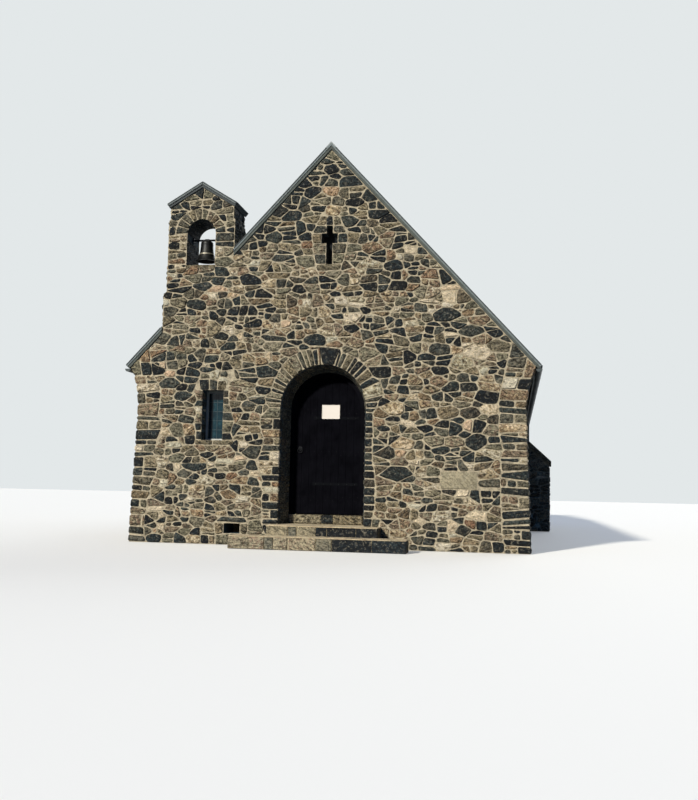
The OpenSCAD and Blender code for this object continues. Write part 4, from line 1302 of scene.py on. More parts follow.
def bell_hole(stones):
    """The stones round the bell opening's arch. Gives their hole."""
    rng, gap = stones.rng, stones.joint / 2
    arch, count = (COTE_X, COTE_SPRING), 10
    reach = wander(count + 1, 0.12, 0.2, 0.04, rng)
    hole = []
    for i in range(count):
        a, b = math.pi * i / count, math.pi * (i + 1) / count
        outers = (BELL_R + reach[i], BELL_R + reach[i + 1])
        wedge(stones, arch, (a, b), BELL_R, outers, (-stones.relief, 0.05),
              rng.choice((0.3, 0.45, 0.55, 0.6, 0.75)))
        # Behind the ring, near-black stones under the arch: painted shade inside the bell opening
        wedge(stones, arch, (a, b), BELL_R, (BELL_R + 0.08, BELL_R + 0.08), (0.054, WALL - 0.02),
              rng.uniform(0.0, 0.15), tight=0.003)
        r = outers[0] + gap
        hole.append((COTE_X + r * math.cos(a), COTE_SPRING + r * math.sin(a)))
    hole.append((COTE_X - BELL_R - reach[-1] - gap, COTE_SPRING))
    return [(COTE_X - BELL_R, COTE_SILL), (COTE_X - BELL_R, COTE_SPRING), *hole[::-1],
            (COTE_X + BELL_R, COTE_SPRING), (COTE_X + BELL_R, COTE_SILL)]


def build_rear(sizes, stone):
    """The rear gable repeats the front's rubble, with two windows."""
    stones = Masonry(12, sizes)
    rng = stones.rng
    left, right = Corner(rng, sizes.corner), Corner(rng, sizes.corner)
    # Seen from behind, the building's right side is on the left
    corner_stones(stones, left, -1, LENGTH, -1, right_front, rear_place, lambda r, z: (r - LENGTH, z),
                  left_place)
    corner_stones(stones, right, 1, LENGTH, -1, left_front, rear_place, lambda r, z: (LENGTH - r, z),
                  right_place)
    outline = left.border(right_front, left.gable_edge, left.bed) + [(0.0, GABLE_TOP)]
    outline += right.border(left_front, right.gable_edge, right.bed)[::-1]
    holes = [window_stones(stones, rear_place, u, (0.0, 0.34, 0.66, 1.0)) for u in (-WINDOW_X, WINDOW_X)]
    stones.fill(Region(outline, holes), rear_place, sizes.stone)
    stones.make("rear_rubble", stone)
    return left, right


def side_window_ys():
    """Middles of the side windows, spaced evenly along the wall."""
    run = LENGTH - 2 * WALL
    return [WALL + run * (i + 0.5) / SIDE_WINDOWS for i in range(SIDE_WINDOWS)]


def build_side(sizes, stone, side, front_corner, rear_corner):
    """One side wall, between the corner stones of the two gable walls."""
    stones = Masonry(20 + side, sizes)
    top = roof_under(HALF_W) - 0.012
    near = front_corner.border(lambda r, z: (r, z), front_corner.side_edge, front_corner.side_bed)
    far = rear_corner.border(lambda r, z: (LENGTH - r, z), rear_corner.side_edge, rear_corner.side_bed)
    outline = [*far, (LENGTH - WALL, KNEELER_TOP - 0.01), (LENGTH - WALL, top), (WALL, top),
               (WALL, KNEELER_TOP - 0.01), *near[::-1]]
    cracks = [((y, KNEELER_Z), (y, top)) for y in (WALL, LENGTH - WALL)]
    y0, y1 = BUTTRESS_Y
    buttress = [(y0, -0.01), (y0, BUTTRESS_TOP + 0.13), (y1, BUTTRESS_TOP + 0.13), (y1, -0.01)]
    place = right_place
    if side < 0:
        place = left_place
        outline, buttress = mirrored(outline), mirrored(buttress)
        cracks = [((-a[0], a[1]), (-b[0], b[1])) for a, b in cracks]
    holes = [buttress] + [window_stones(stones, place, side * y, (0.0, 0.34, 0.66, 1.0))
                          for y in side_window_ys()]
    stones.fill(Region(outline, holes, cracks), place, sizes.stone)
    stones.make("right_rubble" if side > 0 else "left_rubble", stone)


def build_cote(sizes, stone):
    """The bell-cote's other faces: its two sides, its back above the roof and its reveals."""
    stones = Masonry(31, sizes)
    small = sizes.stone * 0.85
    roof_r, roof_l = roof_under(COTE_R) + 0.13, roof_under(COTE_L - COTE_OFFSET) + 0.13
    head = COTE_HALF - COTE_STEP
    top = cote_under(COTE_X + head) - 0.02

    def right_face(u, v, w):
        return ((COTE_R if v < COTE_STEP_Z + 0.01 else COTE_X + head) + w, u, v)

    def left_face(u, v, w):
        x = COTE_L if v < COTE_STEP_Z + 0.01 else COTE_X - head
        return ((COTE_L - COTE_OFFSET if v < COTE_OFFSET_Z + 0.02 else x) - w, -u, v)

    def back_face(u, v, w):
        return (-u, WALL + w, v)

    # The right face, turned away from the key light, gets only darker stones: painted shade
    stones.palest = 0.45
    stones.fill(Region([(0.0, roof_r), (WALL, roof_r), (WALL, top), (0.0, top)],
                       cracks=[((0.0, COTE_STEP_Z), (WALL, COTE_STEP_Z))]), right_face, small)
    stones.palest = 1.0
    stones.fill(Region([(-WALL, roof_l), (0.0, roof_l), (0.0, top), (-WALL, top)],
                       cracks=[((-WALL, z), (0.0, z)) for z in (COTE_STEP_Z, COTE_OFFSET_Z)]),
                left_face, small)
    hole = [(-COTE_X - BELL_R, COTE_SILL), (-COTE_X - BELL_R, COTE_SPRING)]
    hole += [(-COTE_X - BELL_R * math.cos(t), COTE_SPRING + BELL_R * math.sin(t))
             for t in (math.pi * i / 12 for i in range(1, 12))]
    hole += [(-COTE_X + BELL_R, COTE_SPRING), (-COTE_X + BELL_R, COTE_SILL)]
    back = [(-COTE_R, roof_r), (-COTE_L, roof_l + 0.02), (-COTE_L, COTE_STEP_Z),
            (-COTE_X + head, COTE_STEP_Z + COTE_STEP), (-COTE_X + head, top), (-COTE_X, COTE_HEAD_TOP),
            (-COTE_X - head, top), (-COTE_X - head, COTE_STEP_Z + COTE_STEP), (-COTE_R, COTE_STEP_Z)]
    stones.fill(Region(back, [hole]), back_face, small)
    # The reveals of the bell opening, with nearly flush stones of dark tones only: painted shade inside the
    # opening
    stones.relief, stones.joint, stones.palest = 0.005, 0.006, 0.2
    for side in (-1, 1):
        def jamb(u, v, w, side=side):
            return (COTE_X + side * (BELL_R - w), -side * u, v)

        shape = [(0.0, COTE_SILL), (WALL, COTE_SILL), (WALL, COTE_SPRING - 0.1), (0.0, COTE_SPRING - 0.1)]
        stones.fill(Region(mirrored(shape) if side > 0 else shape), jamb, small)
    stones.make("cote_rubble", stone)


def build_buttresses(sizes, stone):
    """Rubble on the three faces of each buttress."""
    stones = Masonry(41, sizes)
    y0, y1 = BUTTRESS_Y
    foot = low("buttress_caps").z - 0.03
    for side in (-1, 1):
        def outer(u, v, w, side=side):
            return (side * (BUTTRESS_X + w), side * u, v)

        def flank(u, v, w):
            return (u, y0 - w, v)

        def back(u, v, w):
            return (-u, y1 + w, v)

        face = [(y0, 0.0), (y1, 0.0), (y1, foot), (y0, foot)]
        stones.fill(Region(face if side > 0 else mirrored(face)), outer, sizes.stone)
        profile = [(side_x(0), 0.0), (BUTTRESS_X, 0.0), (BUTTRESS_X, foot),
                   (side_x(BUTTRESS_TOP), BUTTRESS_TOP - 0.03)]
        stones.fill(Region(profile if side > 0 else mirrored(profile)), flank, sizes.stone)
        stones.fill(Region(mirrored(profile) if side > 0 else profile), back, sizes.stone)
    stones.make("buttress_rubble", stone)


def build_steps(sizes, stone, worn_stone, dressed):
    """Blocks and slabs over the two steps, the stones under the door and the plain slab."""
    stones, slabs, risers = Masonry(51, sizes), Masonry(52, sizes), Masonry(53, sizes)
    rng, gap, skin = stones.rng, 0.002, 0.009
    # Shares of each riser's length that its stones take, from the left, with their tones
    for node, row in (("step_lower", ((0.12, 0.68), (0.09, 0.72), (0.05, 0.42), (0.08, 0.7), (0.16, 0.66),
                                      (0.09, 0.5), (0.22, 0.04), (0.19, 0.08))),
                      ("step_upper", ((0.2, 0.58), (0.08, 0.4), (0.17, 0.55), (0.1, 0.04), (0.26, 0.0),
                                      (0.19, 0.02)))):
        (x0, y0, _), (x1, y1, z1) = low(node), high(node)
        a = x0 - skin
        for share, tone in row:
            b = a + (x1 - x0 + 2 * skin) * share / sum(item[0] for item in row)
            risers.block(box_corners(a + gap, y0 - skin, 0.0, b - gap, y0 + 0.1, z1 + 0.003), tone,
                         wear=0.01, dome=0.008, shake=0.004)
            a = b
        # Pale worn slabs on top, with a thin edge over the riser
        joints = [x0 - skin]
        while x1 - joints[-1] > 0.75:
            joints.append(joints[-1] + rng.uniform(0.42, 0.68))
        joints.append(x1 + skin)
        for a, b in zip(joints, joints[1:]):
            slabs.block(box_corners(a + gap, y0 - 0.016, z1 - 0.004, b - gap, y1, z1 + skin), None,
                        wear=0.004, dome=0.001, shake=0.002)
    (x0, y0, z0), (x1, _, z1) = low("threshold"), high("threshold")
    # Two flags between the jambs, before the threshold
    for a, b in ((x0, DOOR_X - 0.082), (DOOR_X - 0.078, x1)):
        slabs.block(box_corners(a, 0.003, STEP_TOP - 0.004, b, y0 - 0.004, STEP_TOP + skin), None,
                    wear=0.004, dome=0.001, shake=0.001)
    # Three stones in the threshold's face: the shares of its length where each ends, and its tone
    for a, b, tone in ((0.0, 0.44, 0.56), (0.44, 0.60, 0.15), (0.60, 1.0, 0.54)):
        p, q = (x0 + 0.09 + (x1 - x0 - 0.18) * share for share in (a, b))
        stones.block(box_corners(p + gap, y0 - 0.012, z0 + 0.02, q - gap, y0 + 0.03, z1 - 0.004), tone,
                     wear=0.008, dome=0.004)
    stones.make("door_foot_stones", stone, slot="step_stone")
    risers.make("step_blocks", split_stone("tooled_step_stone", rough=0.8), slot="step_stone")
    slabs.make("step_slabs", worn_stone, slot="step_stone")
    x0, z0, x1, z1 = PLAIN_SLAB
    slab = bar("plain_slab", (x0, -0.016, z0), (x1, 0.01, z1), 0.004, 2)
    settle(slab, dressed)


# Pieces modelled one by one


def bar(name, lo, hi, bevel, segments=1):
    """A squared bar with bevelled edges, from its lowest to its highest corner."""
    bpy.ops.object.select_all(action="DESELECT")
    lo, hi = Vector(lo), Vector(hi)
    bpy.ops.mesh.primitive_cube_add(size=1, location=(lo + hi) / 2)
    piece = bpy.context.object
    piece.name = name
    piece.scale = hi - lo
    bpy.ops.object.transform_apply()
    if bevel:
        soften(piece, bevel, segments)
    return piece


def drum(count, radius, depth, at=(0, 0, 0)):
    """A cylinder that lies along y, with a count of flat sides."""
    bpy.ops.object.select_all(action="DESELECT")
    bpy.ops.mesh.primitive_cylinder_add(vertices=count, radius=radius, depth=depth, location=at,
                                        rotation=(math.pi / 2, 0, 0))
    bpy.ops.object.transform_apply()
    return bpy.context.object


def change(piece, kind, **settings):
    """Gives a piece a modifier and applies it."""
    alone(piece)
    modifier = piece.modifiers.new(kind, kind)
    for name, value in settings.items():
        setattr(modifier, name, value)
    bpy.ops.object.modifier_apply(modifier=modifier.name)


def soften(piece, bevel, segments=1, angle=40):
    """Bevels a piece's edges that are sharper than an angle."""
    change(piece, "BEVEL", width=bevel, segments=segments, limit_method="ANGLE",
           angle_limit=math.radians(angle))


def combine(piece, tool, how):
    """Adds a tool to a piece, cuts it away or keeps what both share, and deletes the tool."""
    change(piece, "BOOLEAN", operation=how, solver="EXACT", object=tool)
    bpy.data.objects.remove(tool)


def repeat(piece, step, count):
    """Repeats a piece at even steps."""
    change(piece, "ARRAY", use_relative_offset=False, use_constant_offset=True,
           constant_offset_displace=step, count=count)


def joined(pieces, name):
    """Makes several pieces one."""
    bpy.ops.object.select_all(action="DESELECT")
    for piece in pieces:
        piece.select_set(True)
    bpy.context.view_layer.objects.active = pieces[0]
    if len(pieces) > 1:
        bpy.ops.object.join()
    pieces[0].name = name
    pieces[0].data.name = name
    return pieces[0]


def laid(piece, move):
    """Moves a piece's mesh, and keeps its faces pointing outwards where the matrix mirrors it."""
    piece.data.transform(move)
    if move.determinant() < 0:
        piece.data.flip_normals()
    return piece


def copied(piece, name, move):
    """A copy with a mesh of its own, moved by a matrix."""
    twin = piece.copy()
    twin.data = piece.data.copy()
    twin.name = name
    twin.data.transform(move)
    bpy.context.scene.collection.objects.link(twin)
    return twin


def settle(piece, material, body="root", degrees=35):
    """Finishes a piece: its material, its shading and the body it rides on."""
    piece.data.materials.clear()
    piece.data.materials.append(material)
    smooth(piece, degrees)
    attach(piece, body)


# Turns a strip round, end for end
REVERSED = Matrix.Scale(-1, 4, (1, 0, 0))


def slope_axes(side, pitch):
    """Directions along, down and away from a slope that falls to one side."""
    return (Vector((0, 1, 0)), Vector((side * math.cos(pitch), 0, -math.sin(pitch))),
            Vector((side * math.sin(pitch), 0, math.cos(pitch))))


def slate_slope(name, seed, ridge, axes, length, fall, wide, gauge, drop, keep_out=None):
    """Courses of slates over one slope.

    ridge is where the first course starts, axes are the slope's directions, drop is how far a tail
    stands out over its head, and keep_out tells which places are left bare.
    """
    rng = random.Random(seed)
    along, down, up = axes
    count = max(2, round(length / wide))
    wide = length / count
    rows = max(2, 2 * round(fall / gauge / 2))
    gauge = fall / rows
    # One slate, with its tail corners clipped and its tail thick enough to cast a shadow
    slate = bar("slate", (0.0, 0.0, 0.0), (wide - 0.003, gauge + 0.012, 0.007), 0)
    bpy.ops.object.mode_set(mode="EDIT")
    bpy.ops.mesh.select_all(action="DESELECT")
    bpy.ops.object.mode_set(mode="OBJECT")
    for edge in slate.data.edges:
        ends = [slate.data.vertices[i].co for i in edge.vertices]
        edge.select = all(e.y > gauge for e in ends) and abs(ends[0].z - ends[1].z) > 0.001
    bpy.ops.object.mode_set(mode="EDIT")
    bpy.ops.mesh.select_mode(type="EDGE")
    bpy.ops.mesh.bevel(offset=0.012, segments=1)
    bpy.ops.object.mode_set(mode="OBJECT")
    for vertex in slate.data.vertices:
        vertex.co.z += drop * min(1.0, vertex.co.y / gauge) - 0.006
    block = len(slate.data.vertices)
    second = copied(slate, "slate_2", Matrix.Translation((-wide / 2, gauge, 0)))
    repeat(slate, (wide, 0, 0), count)
    repeat(second, (wide, 0, 0), count + 1)
    field = joined([slate, second], name)
    repeat(field, (0, 2 * gauge, 0), rows // 2)
    mesh = field.data
    tones = []
    doomed = set()
    for first in range(0, len(mesh.vertices), block):
        tone, shift, lift = rng.random() ** 1.4, rng.uniform(-0.004, 0.004), rng.uniform(-0.001, 0.0015)
        tones += [tone] * block
        for i in range(first, first + block):
            co = mesh.vertices[i].co
            co.x = min(length, max(0.0, co.x))
            here = ridge + along * co.x + down * (co.y + shift) + up * (co.z + lift)
            if keep_out and keep_out(here):
                doomed.add(first)
            mesh.vertices[i].co = here
    mesh.attributes.new("tone", "FLOAT", "POINT").data.foreach_set("value", tones)
    if along.cross(down).dot(up) < 0:
        mesh.flip_normals()
    if doomed:
        for vertex in mesh.vertices:
            vertex.select = vertex.index // block * block in doomed
        for part in (*mesh.edges, *mesh.polygons):
            part.select = all(mesh.vertices[i].select for i in part.vertices)
        alone(field)
        bpy.ops.object.mode_set(mode="EDIT")
        bpy.ops.mesh.select_mode(type="VERT")
        bpy.ops.mesh.delete(type="VERT")
        bpy.ops.object.mode_set(mode="OBJECT")
    alone(field)
    bpy.ops.object.mode_set(mode="EDIT")
    bpy.ops.mesh.select_all(action="SELECT")
    # The half slates at the verges leave some flattened to nothing
    bpy.ops.mesh.dissolve_degenerate(threshold=0.00005)
    bpy.ops.object.mode_set(mode="OBJECT")
    return field


def build_roof(sizes, slate, lead, pale_lead):
    """Slates and verge strips of the nave and of the bell-cote."""
    y0, y1 = low("slates_right").y, high("slates_right").y
    top = high("slates_right").z
    fall = high("slates_right").x / math.cos(ROOF_PITCH)
    # Width of a verge strip, and how far down the slope the slates start, under the ridge capping
    strip, under = 0.115, 0.1
    strips = []

    def by_cote(p):
        return COTE_L - COTE_OFFSET - 0.02 < p.x < COTE_R + 0.02 and p.y < WALL + 0.02

    for side, name in ((1, "right_slates"), (-1, "left_slates")):
        axes = slope_axes(side, ROOF_PITCH)
        first = Vector((0, y0 + strip, top)) + axes[1] * under
        field = slate_slope(name, 60 + side, first, axes, y1 - y0 - 2 * strip, fall - under - 0.004,
                            sizes.slate_w, sizes.gauge, 0.0125, by_cote if side < 0 else None)
        settle(field, slate, degrees=25)
        turn = Matrix(axes).transposed().to_4x4()
        for ya in (y0 + 0.001, y1 - strip - 0.001):
            runs = [(0.12, fall - 0.01)]
            # The bell-cote parts the left slope's front strip
            if side < 0 and ya < 0:
                runs = [(0.12, -COTE_R / math.cos(ROOF_PITCH) - 0.01),
                        ((COTE_OFFSET - COTE_L) / math.cos(ROOF_PITCH) + 0.03, fall - 0.01)]
            for a, b in runs:
                flat = joined([bar("verge_strip", (0, a, -0.001), (strip - 0.004, b, 0.004), 0.0015),
                               bar("lip", (-0.006, a, -0.013), (0.001, b, 0.005), 0.0015)], "verge_strip")
                if ya > 0:
                    laid(flat, Matrix.Translation((strip - 0.004, 0, 0)) @ REVERSED)
                strips.append(laid(flat, Matrix.Translation((0, ya, top)) @ turn))
    settle(joined(strips, "verge_strips"), lead)

    y0, y1 = low("cote_roof_right").y, high("cote_roof_right").y
    top = high("cote_roof_right").z
    fall = (high("cote_roof_right").x - COTE_X) / math.cos(COTE_PITCH)
    fields = []
    for side in (1, -1):
        axes = slope_axes(side, COTE_PITCH)
        first = Vector((COTE_X, y0 + 0.02, top)) + axes[1] * 0.004
        fields.append(slate_slope("cote", 70 + side, first, axes, y1 - y0 - 0.04, fall - 0.008, 0.165, 0.17,
                                  0.009))
    settle(joined(fields, "cote_slates"), slate, degrees=25)
    # A folded strip over the bell-cote's ridge, with a dark lip and a pale fillet down each verge
    caps, fillets = [], []
    for side in (1, -1):
        turn = Matrix(slope_axes(side, COTE_PITCH)).transposed().to_4x4()
        flat = bar("cote_ridge", (0, -0.004, 0.012), (y1 - y0 - 0.006, 0.085, 0.016), 0.001)
        caps.append(laid(flat, Matrix.Translation((COTE_X, y0 + 0.003, top)) @ turn))
        for group, a, b, low_side, high_side in ((caps, -0.007, 0.012, -0.004, 0.013),
                                                 (fillets, -0.005, 0.004, -0.024, -0.006)):
            for behind in (False, True):
                run = bar("verge", (a, 0.002, low_side), (b, fall - 0.004, high_side), 0.001)
                if behind:
                    laid(run, Matrix.Translation((y1 - y0, 0, 0)) @ REVERSED)
                group.append(laid(run, Matrix.Translation((COTE_X, y0, top)) @ turn))
    settle(joined(caps, "cote_ridge_strip"), lead)
    settle(joined(fillets, "cote_verge_fillets"), pale_lead)


# Middle of the plain plate on the door, x and z, and heights of the door's ledges
PLATE_AT = (-0.0015, 2.181)
LEDGES = (0.76, 1.5, 2.19)


def build_door(sizes, wood, iron, card):
    """The door's boards, the nails in its straps and the plain plate."""
    lo, hi = low("door_leaf"), high("door_leaf")
    count = max(3, round((hi.x - lo.x) / sizes.board))
    wide = (hi.x - lo.x) / count
    boards = []
    for i in range(count):
        x = lo.x + wide * i
        board = bar("board", (x + 0.0004, lo.y, lo.z), (x + wide - 0.0004, hi.y, hi.z + 0.05), 0)
        # Each board is cut to the leaf's round head
        arch = drum(96, LEAF_R, 0.3, (DOOR_X, (lo.y + hi.y) / 2, SPRING))
        foot = bar("arch_foot", (lo.x, lo.y - 0.1, lo.z), (hi.x, hi.y + 0.1, SPRING), 0)
        combine(arch, foot, "UNION")
        combine(board, arch, "INTERSECT")
        soften(board, 0.004, 1, 60)
        boards.append(board)
    leaf = joined(boards, "door_boards")
    settle(leaf, wood, "door", 30)
    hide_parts("door_leaf")

    # One nail with a domed head, copied: six through each strap, and small ones into the ledges
    nail = drum(8, 0.009, 0.006)
    soften(nail, 0.0026, 1, 50)
    nails = []
    straps_lo, straps_hi = low("door_straps"), high("door_straps")
    for z in (straps_lo.z + 0.023 + 0.009, straps_hi.z - 0.023 - 0.009):
        for k in range(6):
            x = straps_lo.x + 0.05 + (straps_hi.x - straps_lo.x - 0.1) * k / 5
            if abs(x - PLATE_AT[0]) < sizes.plate_w / 2 + 0.015 and abs(z - PLATE_AT[1]) < sizes.plate_h:
                continue
            nails.append(copied(nail, "nail", Matrix.Translation((x, straps_lo.y - 0.002, z))))
    for i in range(count):
        x = lo.x + wide * (i + 0.5)
        for z in LEDGES:
            if math.hypot(x - DOOR_X, max(0.0, z - SPRING)) > LEAF_R - 0.03:
                continue
            for dx, dz in ((-0.022, -0.03), (0.022, 0.03)):
                small = Matrix.Translation((x + dx, lo.y - 0.001, z + dz)) @ Matrix.Scale(0.55, 4)
                nails.append(copied(nail, "nail", small))
    bpy.data.objects.remove(nail)
    settle(joined(nails, "door_nails"), iron, "door")

    # The plain plate in its thin rim, which stands on the boards and clears the strap behind it
    y = straps_lo.y

    def sheet(name, grow, front, back, bevel=0):
        (x, z), w, h = PLATE_AT, sizes.plate_w / 2 + grow, sizes.plate_h / 2 + grow
        return bar(name, (x - w, front, z - h), (x + w, back, z + h), bevel)

    card_face = sheet("plain_plate", 0.0, y - 0.005, y - 0.002, 0.001)
    rim = sheet("rim", 0.004, y - 0.008, lo.y)
    combine(rim, sheet("hole", -0.006, y - 0.02, lo.y + 0.02), "DIFFERENCE")
    soften(rim, 0.0012)
    settle(joined([card_face, rim], "plain_plate"), card, "door")


def build_leads(sizes, lead):
    """Leads between the panes of every window, two panes wide and five high."""
    wide, tall = WINDOW_W - 2 * SASH_W, WINDOW_Z[1] - WINDOW_Z[0] - 2 * SASH_W
    t = sizes.lead / 2
    out = 0.004
    bars = [bar("lead", (-t, -out, 0.0), (t, 0.0, tall), 0.0015)]
    for i in range(1, 5):
        z = tall * i / 5
        bars.append(bar("lead", (-wide / 2, -out, z - t), (-t, 0.0, z + t), 0.0015))
        bars.append(bar("lead", (t, -out, z - t), (wide / 2, 0.0, z + t), 0.0015))
    lattice = joined(bars, "lattice")
    foot = WINDOW_Z[0] + SASH_W
    set_back = WINDOW_SET + 0.03 - 0.003
    places = [Matrix.Translation((-WINDOW_X, set_back, foot))]
    for u in (-WINDOW_X, WINDOW_X):
        places.append(Matrix.Translation((u, LENGTH - set_back, foot)) @ Matrix.Rotation(math.pi, 4, "Z"))
    for side in (-1, 1):
        for y in side_window_ys():
            places.append(Matrix.Translation((side * (HALF_W - set_back), y, foot))
                          @ Matrix.Rotation(side * math.pi / 2, 4, "Z"))
    made = [copied(lattice, "lead", place) for place in places]
    bpy.data.objects.remove(lattice)
    settle(joined(made, "window_leads"), lead)


# The camera, worked out from the photograph
CAMERA_PLACE = (2.968, -15.074, 0.971)
CAMERA_YAW = 0.1703
CAMERA_PITCH = 0.0891
CAMERA_ROLL = 0.0211
FOCAL_PIXELS = 965.98
PICTURE_WIDTH = 698
SENSOR_MM = 36
# The key comes from the front's left, and a wide weak fill from behind shows the far sides: name,
# strength, spread in degrees, colour and direction
LAMPS = (("key", 5.6, 4, (1.0, 0.955, 0.87), (0.4, 1.0, -0.52)),
         ("fill", 1.7, 50, (0.93, 0.97, 1.0), (-0.36, -1.0, -0.4)))


def seen(tree):
    """1 where the eye looks, also by way of metal and glass, and 0 where light spreads."""
    path = add(tree, "LightPath")
    eye = add(tree, "Math", {0: path["Is Camera Ray"], 1: path["Is Glossy Ray"]}, operation="MAXIMUM")[0]
    return add(tree, "Math", {0: eye, 1: path["Is Transmission Ray"]}, operation="MAXIMUM")[0]


def build_stage(colours):
    """A plain pale floor and soft light from the left front, with the camera of the photograph."""
    bpy.ops.object.select_all(action="DESELECT")
    bpy.ops.mesh.primitive_plane_add(size=160, location=(0, 0, -0.004))
    bpy.ops.object.transform_apply()
    floor = bpy.context.object
    floor.name = "studio_floor"
    material, tree, shader, _ = start("matt_pale_floor")
    eye = seen(tree)
    # Pale to the eye, but it throws little light up into the shadows
    shade = add(tree, "Mix", {0: eye, 6: linear("#2a3640"), 7: rgba(colours.floor)}, **MIX)[2]
    glow = add(tree, "Math", {0: eye, 1: 0.24}, operation="MULTIPLY")[0]
    fit(tree, shader, {"Base Color": shade, "Emission Color": shade, "Emission Strength": glow,
                       "Roughness": 0.95})
    floor.data.materials.append(material)
    floor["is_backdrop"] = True

    for name, energy, spread, tint, way in LAMPS:
        lamp = bpy.data.lights.new(name, "SUN")
        lamp.energy = energy
        lamp.angle = math.radians(spread)
        lamp.color = tint
        sun = bpy.data.objects.new(name, lamp)
        sun.rotation_euler = Vector(way).to_track_quat("-Z", "Y").to_euler()
        bpy.context.scene.collection.objects.link(sun)

    world = bpy.data.worlds.new("studio")
    world.use_nodes = True
    bpy.context.scene.world = world
    tree = world.node_tree
    # Blue light on the building, but a plain pale backdrop to the eye
    lit = add(tree, "Mix", {0: seen(tree), 6: linear("#20508a"), 7: linear("#e3e8e9")}, **MIX)[2]
    fit(tree, tree.nodes["Background"], {"Color": lit})

    lens = bpy.data.cameras.new("camera")
    camera = bpy.data.objects.new("camera", lens)
    bpy.context.scene.collection.objects.link(camera)
    yaw, pitch, roll = CAMERA_YAW, CAMERA_PITCH, CAMERA_ROLL
    ahead = Vector((-math.sin(yaw) * math.cos(pitch), math.cos(yaw) * math.cos(pitch), math.sin(pitch)))
    level = Vector((math.cos(yaw), math.sin(yaw), 0))
    upright = level.cross(ahead)
    right = math.cos(roll) * level + math.sin(roll) * upright
    up = -math.sin(roll) * level + math.cos(roll) * upright
    turn = Matrix((right, up, -ahead)).transposed().to_4x4()
    camera.matrix_world = Matrix.Translation(CAMERA_PLACE) @ turn
    lens.sensor_fit = "HORIZONTAL"
    lens.sensor_width = SENSOR_MM
    lens.lens = SENSOR_MM * FOCAL_PIXELS / PICTURE_WIDTH
    lens.clip_end = 400
    bpy.context.scene.camera = camera
    bpy.context.scene.view_settings.view_transform = "Standard"


class CHAPEL_OT_stage(bpy.types.Operator):
    """Set the floor, the light and the camera"""
    bl_idname = "chapel.stage"
    bl_label = "Stage"

    def execute(self, context):
        build_stage(context.scene.chapel_colours)
        return {"FINISHED"}


class CHAPEL_OT_finishes(bpy.types.Operator):
    """Give every solid of the model its finish"""
    bl_idname = "chapel.finishes"
    bl_label = "Finishes"

    def execute(self, context):
        colours = context.scene.chapel_colours
        mortar = lime_mortar(colours)
        dress([n for n in frame["nodes"] if "wall" in n or "gable" in n or "spandrel" in n], mortar)
        dress(["door_footing", "door_arch", "buttresses", "cote_shaft", "cote_pier_left", "cote_pier_right",
               "cote_head"], mortar)
        dress(["step_lower", "step_upper", "threshold"], split_stone("weathered_step_stone", 0.5))
        dress(["buttress_caps", "cote_sill_stone"], split_stone("dressed_sandstone", 0.5))
        dress(["slates_left", "slates_right"], riven_slate(colours, "slate_bed", 0.3))
        dress(["cote_roof_left", "cote_roof_right"],
              worn_metal("dark_slate_edge", "#23292b", "#3a4142", 0.0, 0.6, 60.0, 0.2))
        dress(["ridge_capping"], worn_metal("weathered_lead", "#6f7678", "#8b9190", 0.0, 0.55, 60.0))
        # Boards under the slates run along the roof, 140 mm wide
        dress(["roof_deck_left", "roof_deck_right"],
              sawn_wood("weathered_roof_boards", colours.board, "#2f3532", (40.0, 5.0, 40.0), 0.8, 0.14, 2))
        dress(["fascias"], sawn_wood("painted_fascia", "#868c89", "#5f6664", (60.0, 5.0, 60.0), 0.6))
        dress(["gutters", "downpipes"],
              worn_metal("painted_gutter_iron", "#2f3637", "#4b5250", 0.0, 0.6, sheen=0.25))
        dress(["floor"],
              sawn_wood("oiled_floor_boards", "#6d5a45", "#3f3327", (60.0, 5.0, 60.0), 0.5, 0.14, 0))
        dress(["door_frame", "door_ledges", "door_leaf"],
              sawn_wood("dark_stained_oak", "#101014", "#060608", (60.0, 60.0, 5.0), 0.8, sheen=0.0))
        iron = worn_metal("blackened_iron", "#0b0c10", colours.iron, 0.0, 0.6, sheen=0.1)
        dress(["door_straps"], worn_metal("soot_black_iron", "#07080b", "#0e0f12", 0.0, 0.8, sheen=0.03))
        dress(["door_hinges", "door_pintles", "door_handle", "bell_bearings", "bell_axle",
               "bell_hanger", "clapper_staple", "clapper"], iron)
        dress(["front_window", "side_windows", "rear_windows"],
              sawn_wood("weathered_window_paint", colours.frame, "#8a8a84", (60.0, 60.0, 5.0), 0.65))
        dress(["window_glass"], drawn_glass())
        # The glass deep in the cross-shaped slit is near-black: painted shade of the slit and the dark room
        # behind it
        dress(["cross_glass"], worn_metal("slit_glass_painted_shade", "#07090b", "#10161a", 0.0, 0.6, 60.0, 0.1))
        # A stretch under the bell's waist is painted bright: partly rubbed bronze, partly a painted highlight
        # where a moulding catches the light
        rim = low("bell").z
        dress(["bell"], worn_metal("tarnished_bronze", "#0e1013", colours.bronze, 0.7, 0.45, 90.0,
                                   rub_and_highlight_band=(rim + 0.112, rim + 0.128, "#8f897a")))
        return {"FINISHED"}


class CHAPEL_OT_masonry(bpy.types.Operator):
    """Build the rubble, the corner stones, the doorway's ring and the steps"""
    bl_idname = "chapel.masonry"
    bl_label = "Masonry"

    def execute(self, context):
        sizes = context.scene.chapel_sizes
        stone = split_stone()
        left, right = build_front(sizes, stone)
        rear_left, rear_right = build_rear(sizes, stone)
        build_side(sizes, stone, 1, right, rear_right)
        build_side(sizes, stone, -1, left, rear_left)
        build_cote(sizes, stone)
        build_buttresses(sizes, stone)
        build_steps(sizes, stone, split_stone("worn_sandstone", 0.87, 0.4),
                    split_stone("smooth_sandstone", 0.5, 0.5))
        return {"FINISHED"}


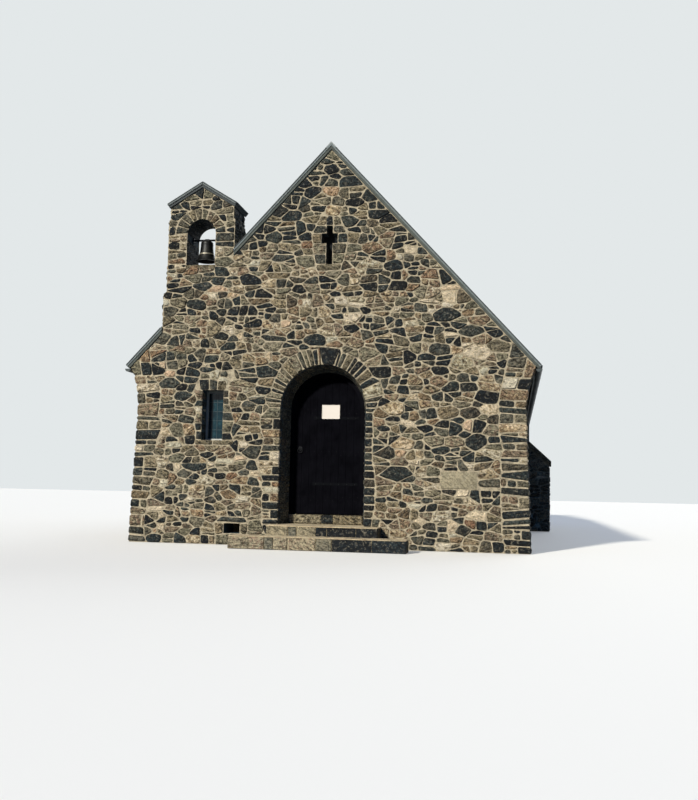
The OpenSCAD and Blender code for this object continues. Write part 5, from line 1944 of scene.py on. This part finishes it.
class CHAPEL_OT_roof(bpy.types.Operator):
    """Lay the slates and the strips at the verges"""
    bl_idname = "chapel.roof"
    bl_label = "Roof"

    def execute(self, context):
        colours = context.scene.chapel_colours
        build_roof(context.scene.chapel_sizes, riven_slate(colours),
                   worn_metal("verge_zinc", "#22282a", "#363d3d", 0.0, 0.6, 60.0, 0.2),
                   worn_metal("brushed_zinc_fillet", "#535b5b", "#6a7170", 0.0, 0.6, 60.0, 0.2))
        return {"FINISHED"}


class CHAPEL_OT_door(bpy.types.Operator):
    """Build the door's boards, nails and plain plate"""
    bl_idname = "chapel.door"
    bl_label = "Door"

    def execute(self, context):
        colours = context.scene.chapel_colours
        build_door(context.scene.chapel_sizes,
                   sawn_wood("dark_stained_boards", colours.door, "#050507", (70.0, 70.0, 5.0), 0.8,
                             sheen=0.0),
                   worn_metal("nail_iron", "#0b0c10", colours.iron, 0.0, 0.6, sheen=0.1),
                   pale_card(colours))
        return {"FINISHED"}


class CHAPEL_OT_windows(bpy.types.Operator):
    """Build the leads between the panes"""
    bl_idname = "chapel.windows"
    bl_label = "Windows"

    def execute(self, context):
        build_leads(context.scene.chapel_sizes,
                    worn_metal("window_lead", "#26343a", "#3c4a4c", 0.0, 0.6, 200.0, 0.2))
        return {"FINISHED"}


OPERATORS = (CHAPEL_OT_stage, CHAPEL_OT_finishes, CHAPEL_OT_masonry, CHAPEL_OT_roof, CHAPEL_OT_door,
             CHAPEL_OT_windows)


class CHAPEL_PT_sidebar(bpy.types.Panel):
    """Lists the sizes, the colours and the steps of the build"""
    bl_label = "Small Stone Chapel"
    bl_idname = "CHAPEL_PT_sidebar"
    bl_space_type = "VIEW_3D"
    bl_region_type = "UI"
    bl_category = "Chapel"

    def draw(self, context):
        for group in (context.scene.chapel_sizes, context.scene.chapel_colours):
            for name in group.__annotations__:
                self.layout.prop(group, name)
        for step in OPERATORS:
            self.layout.operator(step.bl_idname)


CLASSES = (ChapelSizes, ChapelColours, *OPERATORS, CHAPEL_PT_sidebar)


def register():
    """Registers the classes, and the sizes and colours of a scene."""
    for item in CLASSES:
        bpy.utils.register_class(item)
    bpy.types.Scene.chapel_sizes = bpy.props.PointerProperty(type=ChapelSizes)
    bpy.types.Scene.chapel_colours = bpy.props.PointerProperty(type=ChapelColours)


def unregister():
    """Takes back what register did."""
    del bpy.types.Scene.chapel_sizes
    del bpy.types.Scene.chapel_colours
    for item in reversed(CLASSES):
        bpy.utils.unregister_class(item)


def corners(bounds):
    """A box as plain lists of numbers."""
    return [[float(c) for c in corner] for corner in bounds]


def main():
    """Builds every piece in order."""
    solid = corners(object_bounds())
    register()
    bpy.ops.chapel.stage()
    bpy.ops.chapel.finishes()
    bpy.ops.chapel.masonry()
    bpy.ops.chapel.roof()
    bpy.ops.chapel.door()
    bpy.ops.chapel.windows()
    {"solid": solid, "dressed": corners(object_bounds())}


if __name__ == "__main__":
    main()
